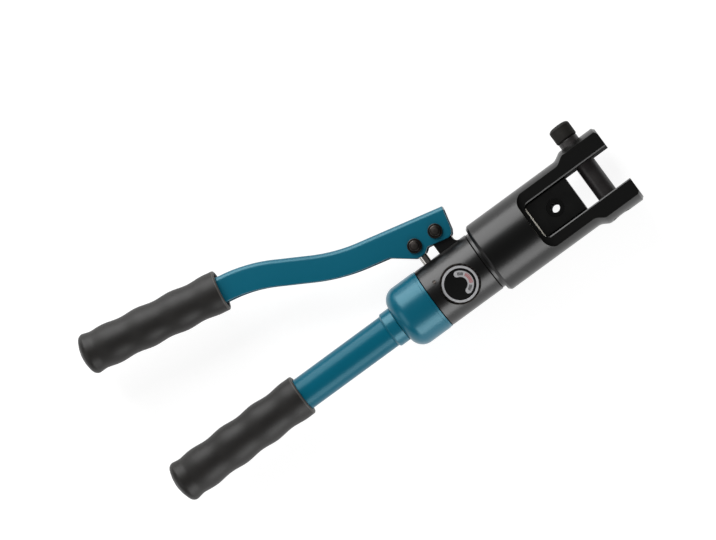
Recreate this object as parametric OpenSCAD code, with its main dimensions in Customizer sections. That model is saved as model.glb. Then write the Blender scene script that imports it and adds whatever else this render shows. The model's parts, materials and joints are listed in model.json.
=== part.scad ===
// Hand-pumped hydraulic crimping tool with a fork head, a ram, a pump lever and a turning handle.
// Millimetres. The origin is where the jaw pin crosses the tool's axis. +X runs along the tool to the fork's
// tip, +Y points to the lever, +Z points out of the side that carries the dial.

/* [Fork head] */
// How far the head's barrel stands out round the pump body
head_over = 4.7; // [4:0.1:8]
// How far the two tip blocks stand out from the barrel
tip_over = 3.8; // [2:0.1:6]
// Jaw pin axis to the front face of the tips
tip_front = 21.2; // [16:0.1:30]
// Jaw pin axis back to the end of the tips' full diameter
tip_back = 11; // [10:0.5:14]
// Length of the cone between tip and barrel
tip_taper = 6.5; // [3:0.5:10]
// Chamfer at the front edge of the tips
tip_edge = 2; // [1:0.25:3]
// Thickness across the two milled flats
flat_t = 34; // [32:0.5:40]
// Corner radius at the back of the flats
flat_r = 10; // [4:0.5:12]
// How far the flats' corners run out past the barrel's outline
flat_over = 0.6; // [0.3:0.1:1.5]
// How far the flats run behind the slot's end
flat_lead = 2.6; // [1:0.1:5]
// Width of the slot between the prongs
slot_w = 30.6; // [28:0.1:34]
// Jaw pin axis back to the slot's end
slot_back = 57.4; // [54:0.1:62]
// Corner radius at the slot's end
slot_r = 5; // [2:0.5:6]
// Jaw pin axis back to the head's rear edge
head_back = 102.8; // [100:0.1:110]
// Chamfer at the head's rear edge
head_edge = 3; // [1:0.25:4]

/* [Jaw pin] */
// Diameter of the jaw pin
pin_d = 16; // [12:0.5:18]
// How far the pin's plain end stays inside the prong
pin_recess = 2; // [1:0.5:6]
// Length of bare pin between prong and knob
pin_neck = 4; // [3:0.5:8]
// Diameter of the knurled knob
knob_d = 17.5; // [17:0.5:24]
// Height of the knurled knob
knob_h = 13; // [11:0.5:20]
// Chamfer of the knob's edges
knob_edge = 1.8; // [0.5:0.1:2]
// Diameter of the stud that carries the knob
stud_d = 10; // [7:0.5:11]
// Length of the stud
stud_len = 9; // [6:0.5:10]
// Section of the pin's retaining ring
ring_wire = 0.9; // [0.6:0.1:1.2]

/* [Ram] */
// Gap between the jaw pin and the ram's face at rest
ram_gap = 10.5; // [8:0.1:16]
// Thickness of the ram block across the slot's open sides
ram_t = 30; // [26:0.5:32]
// Ram face back to its cross hole
eye_set = 19.2; // [14:0.1:24]
// Diameter of the ram's cross hole
eye_d = 7.2; // [6:0.1:10]
// Outer diameter of the bush in the cross hole
eye_bush_d = 14; // [12:0.5:16]
// Chamfer of the ram block's long edges
ram_edge = 1; // [0.5:0.1:2]
// Wall of the pump body round the ram's piston
cylinder_wall = 7; // [6:0.25:8]
// Length of the piston
piston_len = 14; // [12:0.5:16]
// Space for the return spring between the rod and the cylinder
rod_space = 7; // [6:0.25:8]
// Step from the rod down to its front spigot
rod_step = 3.5; // [2:0.25:5]
// Length of the rod's front spigot
rod_spigot_len = 9; // [6:0.5:10]
// Wall of the bush that guides the rod
rod_bush_wall = 2.6; // [1.5:0.1:3.5]
// Wire diameter of the ram's return spring
spring_wire = 3; // [2.4:0.1:3.2]
// Curls of the ram's return spring
spring_turns = 5; // [4:1:6]

/* [Pump body] */
// Diameter of the pump body
body_d = 50; // [49:0.5:54]
// Length of the pump body between the lock ring and the cap
body_len = 48.3; // [48:0.1:56]
// Chamfer of the pump body's edges
body_edge = 0.8; // [0.4:0.1:1.5]
// Step from the body down to its front spigot, which the head is screwed onto
spigot_step = 3; // [2:0.25:3.5]
// Length of the front spigot inside the head
spigot_len = 32; // [30:0.5:34]
// Depth of the ram's cylinder from the spigot's front
cylinder_depth = 45; // [44:0.25:48]
// Width of the lock ring between head and body
lock_w = 2.5; // [2:0.1:4]
// Step from the body down to the lock ring
lock_step = 0.5; // [0.5:0.25:1.5]
// Step from the body down to its rear spigot inside the cap
tail_step = 4; // [3:0.25:5]
// Length of the rear spigot
tail_len = 12.5; // [12:0.25:16]
// Body's front shoulder back to the lever's pivot
pivot_set = 16.6; // [16:0.1:19]
// Height of the lever's pivot above the body's crest
pivot_rise = 15.3; // [14:0.1:19]
// Pivot back to the pump plunger
plunger_set = 19.3; // [19:0.1:21]
// Width of the ear that carries the pivot
ear_w = 15; // [14:0.25:17]
// Fillet at the front foot of the ear
ear_fillet = 4.5; // [3:0.25:6]

/* [Pump plunger and valves] */
// Diameter of the pump plunger
plunger_d = 7; // [6:0.1:7.5]
// How far the plunger's lower end stands below its seal
plunger_dip = 2.35; // [2:0.05:2.6]
// Diameter of the plunger's eye
plunger_eye_d = 11.5; // [11:0.1:12]
// Diameter of the plunger's gland
gland_d = 13; // [12:0.25:14]
// Length of the plunger's gland
gland_len = 4.5; // [3.5:0.1:5]
// How far the gland lies below the body's crest
gland_sink = 0.5; // [0.3:0.1:1]
// Section of the plunger's seal
plunger_seal_w = 1.8; // [1.4:0.1:2]
// Height of the suction and delivery valves above the tool's axis, as a share of the body's diameter
valve_share = 0.17; // [0.16:0.005:0.175]
// Depth of the relief valve below the tool's axis, as a share of the body's diameter
relief_share = 0.21; // [0.19:0.005:0.24]
// Diameter of the valve balls
ball_d = 5; // [4.5:0.1:5.2]
// Diameter of the oil passages
oil_d = 3; // [2.2:0.1:3.2]
// Play of the valve balls in their bores, on the diameter
ball_play = 1.2; // [0.8:0.1:1.6]
// Length of the narrow passage at each side of the plunger's chamber
chamber_land = 2.4; // [2:0.1:4]
// Length of the narrow passage between the cylinder and the relief and release seats
cylinder_land = 4; // [3:0.1:5]
// Length of the suction valve's seat
seat_len = 6; // [5:0.1:7]
// Length of the delivery valve's cage
cage_len = 5; // [4:0.1:7]
// Length of the relief valve's screw
relief_len = 9; // [7:0.25:11]
// How deep the relief valve's screw sits in the body
relief_sink = 10; // [6:0.25:12]
// Wire diameter of the valve springs
valve_wire = 0.7; // [0.5:0.05:0.9]
// Curls of the suction spring
suction_turns = 3; // [2:1:4]
// Curls of the delivery spring
delivery_turns = 4; // [3:1:5]
// Curls of the relief spring
relief_turns = 9; // [6:1:12]
// Diameter of the release needle
needle_d = 6; // [5:0.1:6.2]
// Length of the needle's cone
needle_cone = 3.2; // [2:0.1:4]
// Tip diameter of the release needle
needle_tip = 2; // [1:0.1:2.2]
// Section of the round seals on needle and cap
seal_w = 1.8; // [1.4:0.1:2]

/* [Dial and plug] */
// Diameter of the dial plate, as a share of the body's diameter
dial_share = 0.57; // [0.5:0.01:0.6]
// Thickness of the dial plate
dial_t = 3; // [2:0.1:4]
// Width of the bezel round the dial
bezel_w = 1.5; // [1:0.1:2]
// How far the bezel stays below the dial's face
bezel_drop = 0.4; // [0:0.1:1]
// Dial's centre behind the body's front shoulder
dial_set = 24.2; // [22:0.1:25]
// Turn of the dial about the tool's axis, away from the lever
dial_turn = 12; // [6:0.5:14]
// Diameter of the plug that closes a drilled oil passage
plug_d = 3; // [2.5:0.1:3.5]
// Depth of the drilled passage's plug
plug_len = 3; // [2.5:0.1:4]
// Turn of the plug about the tool's axis, towards the lever
plug_turn = 19; // [18:0.5:22]
// Pump plunger back to the plug
plug_set = 3.2; // [3:0.1:5]

/* [End cap and handle] */
// How far the end cap stands out round the pump body
cap_over = 0.5; // [0.4:0.1:3]
// Length of the end cap
cap_len = 32.2; // [31:0.1:40]
// Shoulder radius at the back of the cap
cap_r = 11.5; // [8:0.25:12]
// Width of the lip at the cap's front
cap_lip = 2.2; // [1.5:0.1:3]
// Rear wall of the cap
cap_wall = 9; // [8:0.25:11]
// Step from the body's rear spigot down to the oil space in the cap
cap_step = 4; // [2:0.25:6]
// Diameter of the collar
collar_d = 29.4; // [28:0.2:33]
// Length of the collar outside the cap
collar_len = 9.9; // [7:0.1:14]
// Chamfer at the collar's rear edge
collar_edge = 1.6; // [1:0.1:2]
// Diameter of the collar's hub inside the cap
hub_d = 20; // [18:0.25:22]
// Length of the hub beyond the cap's rear wall
hub_out = 4; // [3.5:0.1:5]
// Width of the clip on the hub
clip_w = 1.8; // [1.2:0.1:2.2]
// Depth of the clip's groove
clip_groove = 1.2; // [0.8:0.1:1.6]
// Share of the space round the hub that the clip fills
clip_share = 0.43; // [0.3:0.01:0.6]
// Outer diameter of the handle tube
tube_d = 26.5; // [25:0.25:28]
// Wall of the handle tube
tube_wall = 2; // [1.5:0.1:2.5]
// Bare length of tube between collar and grip
tube_bare = 84; // [60:0.1:110]
// Length of the collar's spigot in the tube
spigot_in = 9; // [6:0.25:12]
// Outer diameter of the nipple that carries the bladder
nipple_d = 15; // [14:0.25:16]
// Length of the nipple
nipple_len = 10; // [8:0.25:14]
// Bore of the nipple
nipple_bore = 12; // [11.5:0.1:12.5]
// Oil holes round the needle in the collar
oil_holes = 4; // [3:1:4]
// Diameter of those oil holes
oil_hole_d = 2; // [1.5:0.1:2.2]
// Wall of the oil bladder
bladder_wall = 1.5; // [1:0.1:1.8]
// Length of the oil bladder
bladder_len = 150; // [100:1:155]
// Width of the bladder's clamp
clamp_w = 4; // [3:0.25:6]
// Thickness of the bladder's clamp
clamp_t = 1; // [0.6:0.1:1.1]
// Length of the plug in the tube's rear end
tube_plug_len = 10; // [6:0.5:14]

/* [Grips] */
// Length of each grip
grip_len = 118.4; // [100:0.1:130]
// Diameter of the handle grip on its crests
handle_grip_d = 34; // [33:0.25:38]
// Diameter of the lever grip on its crests
lever_grip_d = 33; // [32.5:0.25:38]
// Depth of the grips' waves
wave_depth = 0.9; // [0.3:0.1:1.2]
// Length of one wave
wave_len = 29; // [24:0.5:36]
// Front edge to the first crest
wave_start = 4; // [3:0.25:6]
// Rounding of the grips' front lip
lip_r = 1.6; // [1:0.1:2]
// Rounding of the grips' rear edge
heel_r = 2.8; // [1.5:0.1:3.2]
// Thickness of the grips' closed end
grip_end = 4; // [3.5:0.25:6]

/* [Lever] */
// Width of the folded channel
lever_w = 18; // [17.5:0.1:19]
// Depth of the folded channel
lever_depth = 20.6; // [19.5:0.1:21.5]
// Thickness of its sheet
sheet = 2.5; // [2:0.1:2.8]
// Outer radius of its folds
fold_r = 4; // [3.2:0.1:4.5]
// Slope of the front straight against the tool's axis
slope_front = 12.9; // [10:0.1:15]
// Slope of the middle straight
slope_mid = 29.8; // [26:0.1:32]
// Slope of the rear straight and its grip
slope_rear = 10.5; // [9:0.1:13]
// Length of the front straight
front_len = 70; // [66:0.25:78]
// Radius of the first bend along the spine
bend_front_r = 130; // [90:1:160]
// Length of the middle straight
mid_len = 28.4; // [20:0.25:36]
// Radius of the second bend along the spine
bend_rear_r = 125; // [100:1:150]
// Bare length between the second bend and the grip
grip_lead = 5; // [2:0.25:16]
// Pivot forward to the lever's front end, along the front straight
nose_len = 12; // [10:0.25:13]
// Pivot up to the spine, square to the front straight
spine_h = 15.6; // [14.5:0.1:17]
// Depth of the flanges below the pivot bolt
pivot_lobe = 8.8; // [8.5:0.1:9.5]
// Rounding of the flanges' lower front corner
nose_r = 6; // [3:0.25:7]
// Radius of the flange under the plunger bolt
plunger_lobe = 9.6; // [8.5:0.1:9.8]
// Rise of the flange's rear edge
flange_rise = 37.7; // [34:0.1:42]
// Diameter of the pivot bolt
pivot_bolt_d = 8; // [7:0.1:9]
// Diameter of the plunger bolt
plunger_bolt_d = 6; // [5:0.1:6.5]
// Diameter of the bolts' heads
bolt_head_d = 11.5; // [11:0.25:13]
// Height of the bolts' heads
bolt_head_h = 3; // [2:0.1:4]
// Chamfer of the bolts' heads
bolt_edge = 0.8; // [0.4:0.1:1.2]
// Width across the nuts' flats
nut_af = 11; // [10:0.25:13]
// Height of the nuts
nut_h = 4; // [3:0.1:5]
// Largest angle by which the lever closes
lever_close = 15; // [10:0.5:16]

/* [Clearances] */
// Radial clearance of running fits
run_gap = 0.08; // [0.05:0.01:0.1]
// Radial clearance of screwed and pushed fits
seat_gap = 0.05; // [0.04:0.01:0.1]
// Clearance between pieces that pass each other
pass_gap = 0.3; // [0.2:0.05:0.5]

/* [Hidden] */
$fn = 96;
black = "#1c1c1d";
blue = "#12647e";
rubber = "#3a3836";
steel = "#b9bcc0";
dark_steel = "#4a4b4d";
brass = "#b08d4a";
past = 1;
spring_rings = 8;
spring_sides = 6;
arc_step = 15;
wave_step = 2.5;
flange_rings = 26;
bend_rings = 7;
fold_rings = 4;

// Diameters and heights that follow from the pump body's
piston_d = body_d - 2 * cylinder_wall;
rod_d = piston_d - 2 * rod_space;
rod_spigot_d = rod_d - 2 * rod_step;
spring_d = (rod_d + piston_d) / 2;
spigot_d = body_d - 2 * spigot_step;
lock_d = body_d - 2 * lock_step;
tail_d = body_d - 2 * tail_step;
cap_d = body_d + 2 * cap_over;
cap_space_d = tail_d - 2 * cap_step;
clip_d = hub_d + (cap_space_d - hub_d) * clip_share;
head_d = body_d + 2 * head_over;
tip_d = head_d + 2 * tip_over;
dial_d = dial_share * body_d;
pivot_h = body_d / 2 + pivot_rise;
valve_h = valve_share * body_d;
relief_h = relief_share * body_d;

// Stations along the tool's axis
shoulder_x = -head_back - lock_w;
spigot_x = -head_back + spigot_len;
cylinder_x = spigot_x - cylinder_depth;
body_back_x = shoulder_x - body_len;
tail_x = body_back_x - tail_len;
cap_back_x = body_back_x - cap_len;
collar_x = cap_back_x - pass_gap;
tube_x = collar_x - collar_len;
grip_x = tube_x - tube_bare;
grip_back_x = grip_x - grip_len;
tube_back_x = grip_back_x + grip_end + seat_gap;
ram_face_x = -pin_d / 2 - ram_gap;
ram_back_x = -slot_back + pass_gap;
eye_x = ram_face_x - eye_set;
piston_back_x = cylinder_x + pass_gap;
piston_front_x = piston_back_x + piston_len;
wall_x = spigot_x + pass_gap;
pivot_x = shoulder_x - pivot_set;
plunger_x = pivot_x - plunger_set;
dial_x = shoulder_x - dial_set;
plug_x = plunger_x - plug_set;

// Stations along the jaw pin
pin_low_y = pin_recess - tip_d / 2;
pin_ring_y = pin_low_y + (tip_d - slot_w) / 4;
pin_neck_y = tip_d / 2 + pin_neck;

// Sizes that follow from the fits
bore_d = piston_d + 2 * run_gap;
flat_half = sqrt(pow(head_d / 2, 2) - pow(flat_t / 2, 2));
ram_w = slot_w - 2 * pass_gap;
rod_bush_d = rod_d + 2 * run_gap + 2 * rod_bush_wall;
ear_t = lever_w - 2 * sheet - 2 * pass_gap;
chamber_d = plunger_d + 2 * run_gap;
chamber_low = valve_h - oil_d / 2;
valve_d = ball_d + ball_play;
needle_bore = needle_d + 4 * run_gap;
bladder_in = nipple_d + 2 * seat_gap;
bladder_d = bladder_in + 2 * bladder_wall;
tube_bore = tube_d - 2 * tube_wall;
hub_x = cap_back_x + cap_wall + hub_out;
clip_x = cap_back_x + cap_wall + pass_gap;
web_x = tube_x - spigot_in / 2;
bezel_d = dial_d + 2 * bezel_w + 2 * seat_gap;
dial_floor = sqrt(pow(body_d / 2, 2) - pow(bezel_d / 2 + seat_gap, 2)) - seat_gap;
ball_seat = sqrt(pow(ball_d / 2, 2) - pow(oil_d / 2, 2)) + seat_gap;
gland_low = body_d / 2 - gland_len - gland_sink;
seal_low = gland_low - plunger_seal_w - seat_gap;
plunger_low = seal_low - plunger_dip;

// Stations of the valves, from front to back
relief_floor_x = cylinder_x - cylinder_land;
relief_ball_x = relief_floor_x - ball_seat;
relief_spring_x = tail_x + relief_len + relief_sink;
suction_floor_x = plunger_x - chamber_d / 2 - chamber_land;
suction_seat_x = tail_x + seat_len;
suction_ball_x = suction_seat_x + ball_seat;
delivery_floor_x = plunger_x + chamber_d / 2 + chamber_land;
delivery_ball_x = delivery_floor_x + ball_seat;
cage_x = cylinder_x - cage_len - pass_gap;
needle_floor_x = cylinder_x - cylinder_land;
needle_x = needle_floor_x - pass_gap;
needle_back_x = web_x + pass_gap;

// The lever's path along its spine
pivot_at = [pivot_x, pivot_h];
plunger_at = [plunger_x, pivot_h];
spine_0 = pivot_at + nose_len * -back(slope_front) + spine_h * up(slope_front);
spine_1 = spine_0 + front_len * back(slope_front);
bend_front_at = spine_1 + bend_front_r * up(slope_front);
spine_2 = bend_front_at - bend_front_r * up(slope_mid);
spine_3 = spine_2 + mid_len * back(slope_mid);
bend_rear_at = spine_3 - bend_rear_r * up(slope_mid);
spine_4 = bend_rear_at + bend_rear_r * up(slope_rear);
grip_at = spine_4 + grip_lead * back(slope_rear) - lever_depth / 2 * up(slope_rear);
rear_len = grip_lead + grip_len - grip_end - pass_gap;

// The flanges' depth along the front straight, measured from the spine
pivot_flat = spine_h + pivot_lobe;
lobe_at = [nose_len + plunger_set * cos(slope_front), spine_h + plunger_set * sin(slope_front)];
ramp_slope = flange_rise - slope_front;
ramp_at = lobe_at + plunger_lobe * [sin(ramp_slope), cos(ramp_slope)];
flange_end = ramp_at[0] + (ramp_at[1] - lever_depth) / tan(ramp_slope);

// Rings of the lever: place on the spine, slope and depth
lever_path = concat(
    [for (i = [0 : flange_rings]) let (u = flange_end * i / flange_rings)
        concat(spine_0 + u * back(slope_front), [slope_front, flange_depth(u)])],
    [for (i = [0 : bend_rings]) let (a = slope_front + (slope_mid - slope_front) * i / bend_rings)
        concat(bend_front_at - bend_front_r * up(a), [a, lever_depth])],
    [for (i = [0 : bend_rings]) let (a = slope_mid + (slope_rear - slope_mid) * i / bend_rings)
        concat(bend_rear_at + bend_rear_r * up(a), [a, lever_depth])],
    [concat(spine_4 + rear_len * back(slope_rear), [slope_rear, lever_depth])]);

// Centre lines of the springs
return_coil = coil(wall_x - piston_front_x - 2 * seat_gap, spring_d, spring_wire, spring_turns);
suction_coil = coil(suction_floor_x - suction_ball_x - ball_d / 2 - 2 * seat_gap, ball_d - valve_wire,
    valve_wire, suction_turns);
delivery_coil = coil(cage_x - delivery_ball_x - ball_d / 2 - 2 * seat_gap, ball_d - valve_wire, valve_wire,
    delivery_turns);
relief_coil = coil(relief_ball_x - ball_d / 2 - relief_spring_x - 2 * seat_gap, ball_d - valve_wire,
    valve_wire, relief_turns);
echo(spring_least_gaps = [coil_gap(return_coil, spring_wire), coil_gap(suction_coil, valve_wire),
    coil_gap(delivery_coil, valve_wire), coil_gap(relief_coil, valve_wire)]);

// Unit vectors along and square to a sloping stretch of the lever
function back(slope) = [-cos(slope), sin(slope)];
function up(slope) = [sin(slope), cos(slope)];

// Points of a quarter or part circle
function arc(at, r, from, to) = [for (i = [0 : ceil(abs(to - from) / arc_step)])
    let (a = from + (to - from) * i / ceil(abs(to - from) / arc_step)) at + r * [cos(a), sin(a)]];

// Centre line of a coil spring that stands on the plane z = 0
function coil(length, d, wire, turns) = [for (i = [0 : turns * spring_rings])
    [d / 2 * cos(360 * i / spring_rings), d / 2 * sin(360 * i / spring_rings),
    wire / 2 + (length - wire) * i / (turns * spring_rings)]];

// Least gap between the curls of a coil spring
function coil_gap(path, wire) = min([for (i = [0 : len(path) - 1 - spring_rings / 2])
    min([for (j = [i + spring_rings / 2 : len(path) - 1]) norm(path[j] - path[i])])]) - wire;

// Depth of the lever's flanges at a distance from its front end
function flange_depth(u) = max(u < nose_r ? 0 : lever_depth,
    u > lobe_at[0] ? 0 : pivot_flat - nose_r + sqrt(pow(nose_r, 2) - pow(max(nose_r - u, 0), 2)),
    abs(u - lobe_at[0]) > plunger_lobe ? 0
        : lobe_at[1] + sqrt(pow(plunger_lobe, 2) - pow(u - lobe_at[0], 2)),
    u < ramp_at[0] ? 0 : ramp_at[1] - (u - ramp_at[0]) * tan(ramp_slope));

// Outline of the channel's section, a skin inside its outer face: [depth, across] from edge to edge
function fold_side(depth, skin) = concat([[depth, skin - lever_w / 2]],
    [for (i = [0 : fold_rings]) fold_point(90 * i / fold_rings, skin, -1)],
    [for (i = [0 : fold_rings]) fold_point(90 - 90 * i / fold_rings, skin, 1)],
    [[depth, lever_w / 2 - skin]]);
function fold_point(a, skin, side) = [fold_r - (fold_r - skin) * sin(a),
    side * (lever_w / 2 - fold_r + (fold_r - skin) * cos(a))];

// Two triangles of a four-cornered face
function quad(a, b, c, d) = [[a, b, c], [a, c, d]];

// Radius of a grip at a distance from its front edge
function grip_radius(d, at) = d / 2 - wave_depth / 2 * (1 - cos(360 * (at - wave_start) / wave_len));

// Round bars along each axis
module bar_x(from, to, d) {
    translate([from, 0, 0]) rotate([0, 90, 0]) cylinder(h = to - from, d = d);
}

module bar_y(from, to, d) {
    translate([0, from, 0]) rotate([-90, 0, 0]) cylinder(h = to - from, d = d);
}

module bar_z(from, to, d) {
    translate([0, 0, from]) cylinder(h = to - from, d = d);
}

// A solid turned about the tool's axis from [radius, x] points
module turned(points) {
    rotate([0, 90, 0]) rotate_extrude() polygon(points);
}

// A round seal about the tool's axis
module round_seal(x, d, w) {
    translate([x, 0, 0]) rotate([0, 90, 0]) rotate_extrude() translate([d / 2, 0]) circle(d = w);
}

// A sheet outline that is open to the front, with rounded rear corners
module open_pocket(back_x, half, r, front_x, reach) {
    union() {
        translate([back_x + r, -reach]) square([front_x - back_x - r, 2 * reach]);
        translate([back_x, r - half]) square([r, 2 * (half - r)]);
        for (side = [-1, 1]) translate([back_x + r, side * (half - r)]) circle(r);
    }
}

// One unbroken wire along a coil's centre line
module wire_coil(path, wire) {
    last = len(path) - 1;
    ring = [for (i = [0 : last])
        let (along = path[min(i + 1, last)] - path[max(i - 1, 0)], t = along / norm(along),
            out = [path[i][0], path[i][1], 0] / norm([path[i][0], path[i][1]]), side = cross(t, out))
        for (k = [0 : spring_sides - 1])
            let (a = 360 * k / spring_sides)
            path[i] + wire / 2 * (cos(a) * cross(side, t) + sin(a) * side)];
    walls = [for (i = [0 : last - 1]) for (k = [0 : spring_sides - 1])
        let (a = i * spring_sides + k, b = i * spring_sides + (k + 1) % spring_sides)
        each [[a, b, a + spring_sides], [b, b + spring_sides, a + spring_sides]]];
    ends = [for (k = [1 : spring_sides - 2]) each [[0, k + 1, k],
        [last * spring_sides, last * spring_sides + k, last * spring_sides + k + 1]]];
    polyhedron(ring, concat(walls, ends));
}

// Fork head: barrel, two prongs with thicker tips, a slot, milled flats and bores for pin, rod and body
module fork_head() {
    color(black) difference() {
        turned([[0, -head_back], [head_d / 2 - head_edge, -head_back], [head_d / 2, -head_back + head_edge],
            [head_d / 2, -tip_back - tip_taper], [tip_d / 2, -tip_back], [tip_d / 2, tip_front - tip_edge],
            [tip_d / 2 - tip_edge, tip_front], [0, tip_front]]);
        for (side = [0, 1]) mirror([0, 0, side]) translate([0, 0, flat_t / 2]) linear_extrude(tip_d)
            open_pocket(-slot_back - flat_lead, flat_half + flat_over, flat_r, tip_front + past, tip_d);
        translate([0, 0, -tip_d]) linear_extrude(2 * tip_d)
            open_pocket(-slot_back, slot_w / 2, slot_r, tip_front + past, slot_w / 2);
        bar_y(-tip_d, tip_d, pin_d + 2 * run_gap);
        bar_x(-head_back - past, wall_x, spigot_d + 2 * seat_gap);
        bar_x(wall_x - past, -slot_back + past, rod_bush_d + 2 * seat_gap);
    }
}

// Bronze bush in the head's inner wall, which guides the rod
module rod_bush() {
    color(brass) difference() {
        bar_x(wall_x + pass_gap, -slot_back, rod_bush_d);
        bar_x(wall_x, -slot_back + past, rod_d + 2 * run_gap);
    }
}

// Ring that locks the head on the body's thread
module head_lock_ring() {
    color(dark_steel) difference() {
        bar_x(shoulder_x, -head_back, lock_d);
        bar_x(shoulder_x - past, -head_back + past, spigot_d + 2 * seat_gap);
    }
}

// Pump body: cylinder for the ram, ear for the lever, plunger chamber, three valves and the release seat
module pump_body() {
    color(black) difference() {
        union() {
            turned([[0, tail_x], [tail_d / 2, tail_x], [tail_d / 2, body_back_x],
                [body_d / 2 - body_edge, body_back_x], [body_d / 2, body_back_x + body_edge],
                [body_d / 2, shoulder_x - body_edge],
                [body_d / 2 - body_edge, shoulder_x], [spigot_d / 2, shoulder_x], [spigot_d / 2, spigot_x],
                [0, spigot_x]]);
            translate([0, 0, -ear_t / 2]) linear_extrude(ear_t) ear_outline();
        }
        bar_x(cylinder_x, spigot_x + past, bore_d);
        translate([pivot_x, pivot_h, 0]) bar_z(-ear_t, ear_t, pivot_bolt_d + 2 * run_gap);
        translate([plunger_x, 0, 0]) plunger_cuts();
        valve_cuts();
        rotate([dial_turn, 0, 0]) translate([dial_x, 0, 0]) bar_z(dial_floor, body_d, bezel_d + 2 * seat_gap);
        rotate([-plug_turn, 0, 0]) translate([plug_x, 0, 0])
            bar_z(body_d / 2 - plug_len, body_d, plug_d + 2 * seat_gap);
        round_seal_groove(tail_x + tail_len / 2, tail_d);
    }
}

// Outline of the ear, from inside the body up to the round top, with a fillet at its front foot
module ear_outline() {
    foot_y = body_d / 2 - body_edge;
    front_x = pivot_x + ear_w / 2;
    union() {
        translate([pivot_x, pivot_h]) circle(ear_w / 2);
        translate([pivot_x - ear_w / 2, body_d / 4]) square([ear_w, pivot_h - body_d / 4]);
        difference() {
            translate([front_x, body_d / 4]) square([ear_fillet, foot_y + ear_fillet - body_d / 4]);
            translate([front_x + ear_fillet, foot_y + ear_fillet]) circle(ear_fillet);
        }
    }
}

// Chamber, seal seat and gland hole of the plunger
module plunger_cuts() {
    bar_y(chamber_low, body_d, chamber_d);
    bar_y(seal_low, body_d, plunger_d + 2 * run_gap + 2 * plunger_seal_w + 2 * seat_gap);
    bar_y(gland_low, body_d, gland_d + 2 * seat_gap);
}

// Drillings of the suction, delivery and relief valves and of the release seat
module valve_cuts() {
    translate([0, valve_h, 0]) {
        bar_x(tail_x - past, suction_floor_x, valve_d);
        bar_x(suction_floor_x - past, delivery_floor_x + past, oil_d);
        bar_x(delivery_floor_x, cylinder_x + past, valve_d);
    }
    translate([0, -relief_h, 0]) {
        bar_x(tail_x - past, relief_floor_x, valve_d);
        bar_x(relief_floor_x - past, cylinder_x + past, oil_d);
    }
    bar_x(tail_x - past, needle_floor_x, needle_bore);
    bar_x(needle_floor_x - past, cylinder_x + past, oil_d);
    translate([tail_x + tail_len / 2 - seal_w / 2 - seat_gap, 0, 0])
        bar_x(0, seal_w + 2 * seat_gap, needle_d + 2 * run_gap + 2 * seal_w + 2 * seat_gap);
}

// Groove for a round seal in the outside of a shaft
module round_seal_groove(x, d) {
    difference() {
        bar_x(x - seal_w / 2 - seat_gap, x + seal_w / 2 + seat_gap, d + past);
        bar_x(x - seal_w, x + seal_w, d - 2 * seal_w - 2 * seat_gap);
    }
}

// Screwed gland that holds the plunger's seal
module plunger_gland() {
    color(dark_steel) translate([plunger_x, 0, 0]) difference() {
        bar_y(gland_low, gland_low + gland_len, gland_d);
        bar_y(gland_low - past, body_d, plunger_d + 2 * run_gap);
    }
}

// Seal ring under the gland
module plunger_seal() {
    color(rubber) translate([plunger_x, 0, 0]) difference() {
        bar_y(seal_low, gland_low - seat_gap, plunger_d + 2 * run_gap + 2 * plunger_seal_w);
        bar_y(seal_low - past, gland_low, plunger_d + 2 * run_gap);
    }
}

// A drilled screw plug along the tool's axis
module drilled_plug(from, to, d) {
    difference() {
        bar_x(from, to, d);
        bar_x(from - past, to + past, oil_d);
    }
}

module suction_seat() {
    color(brass) translate([0, valve_h, 0]) drilled_plug(tail_x, suction_seat_x, valve_d - 2 * seat_gap);
}

module delivery_cage() {
    color(brass) translate([0, valve_h, 0]) drilled_plug(cage_x, cage_x + cage_len, valve_d - 2 * seat_gap);
}

module relief_screw() {
    color(dark_steel) translate([0, -relief_h, 0])
        drilled_plug(relief_spring_x - relief_len, relief_spring_x, valve_d - 2 * seat_gap);
}

module suction_spring() {
    color(steel) translate([suction_ball_x + ball_d / 2 + seat_gap, valve_h, 0]) rotate([0, 90, 0])
        wire_coil(suction_coil, valve_wire);
}

module delivery_spring() {
    color(steel) translate([delivery_ball_x + ball_d / 2 + seat_gap, valve_h, 0]) rotate([0, 90, 0])
        wire_coil(delivery_coil, valve_wire);
}

module relief_spring() {
    color(steel) translate([relief_spring_x + seat_gap, -relief_h, 0]) rotate([0, 90, 0])
        wire_coil(relief_coil, valve_wire);
}

module suction_ball() {
    color(steel) translate([suction_ball_x, valve_h, 0]) sphere(d = ball_d);
}

module delivery_ball() {
    color(steel) translate([delivery_ball_x, valve_h, 0]) sphere(d = ball_d);
}

module relief_ball() {
    color(steel) translate([relief_ball_x, -relief_h, 0]) sphere(d = ball_d);
}

// Pin that closes the drilled passage beside the plunger
module passage_plug() {
    color(steel) rotate([-plug_turn, 0, 0]) translate([plug_x, 0, 0])
        bar_z(body_d / 2 - plug_len, body_d / 2, plug_d);
}

// Round dial in its recess, and the bezel round it
module dial_plate() {
    color(black) rotate([dial_turn, 0, 0]) translate([dial_x, 0, 0])
        bar_z(dial_floor, dial_floor + dial_t, dial_d);
}

module dial_bezel() {
    color(dark_steel) rotate([dial_turn, 0, 0]) translate([dial_x, 0, 0]) difference() {
        bar_z(dial_floor, dial_floor + dial_t - bezel_drop, bezel_d);
        bar_z(dial_floor - past, dial_floor + dial_t, dial_d + 2 * seat_gap);
    }
}

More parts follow.
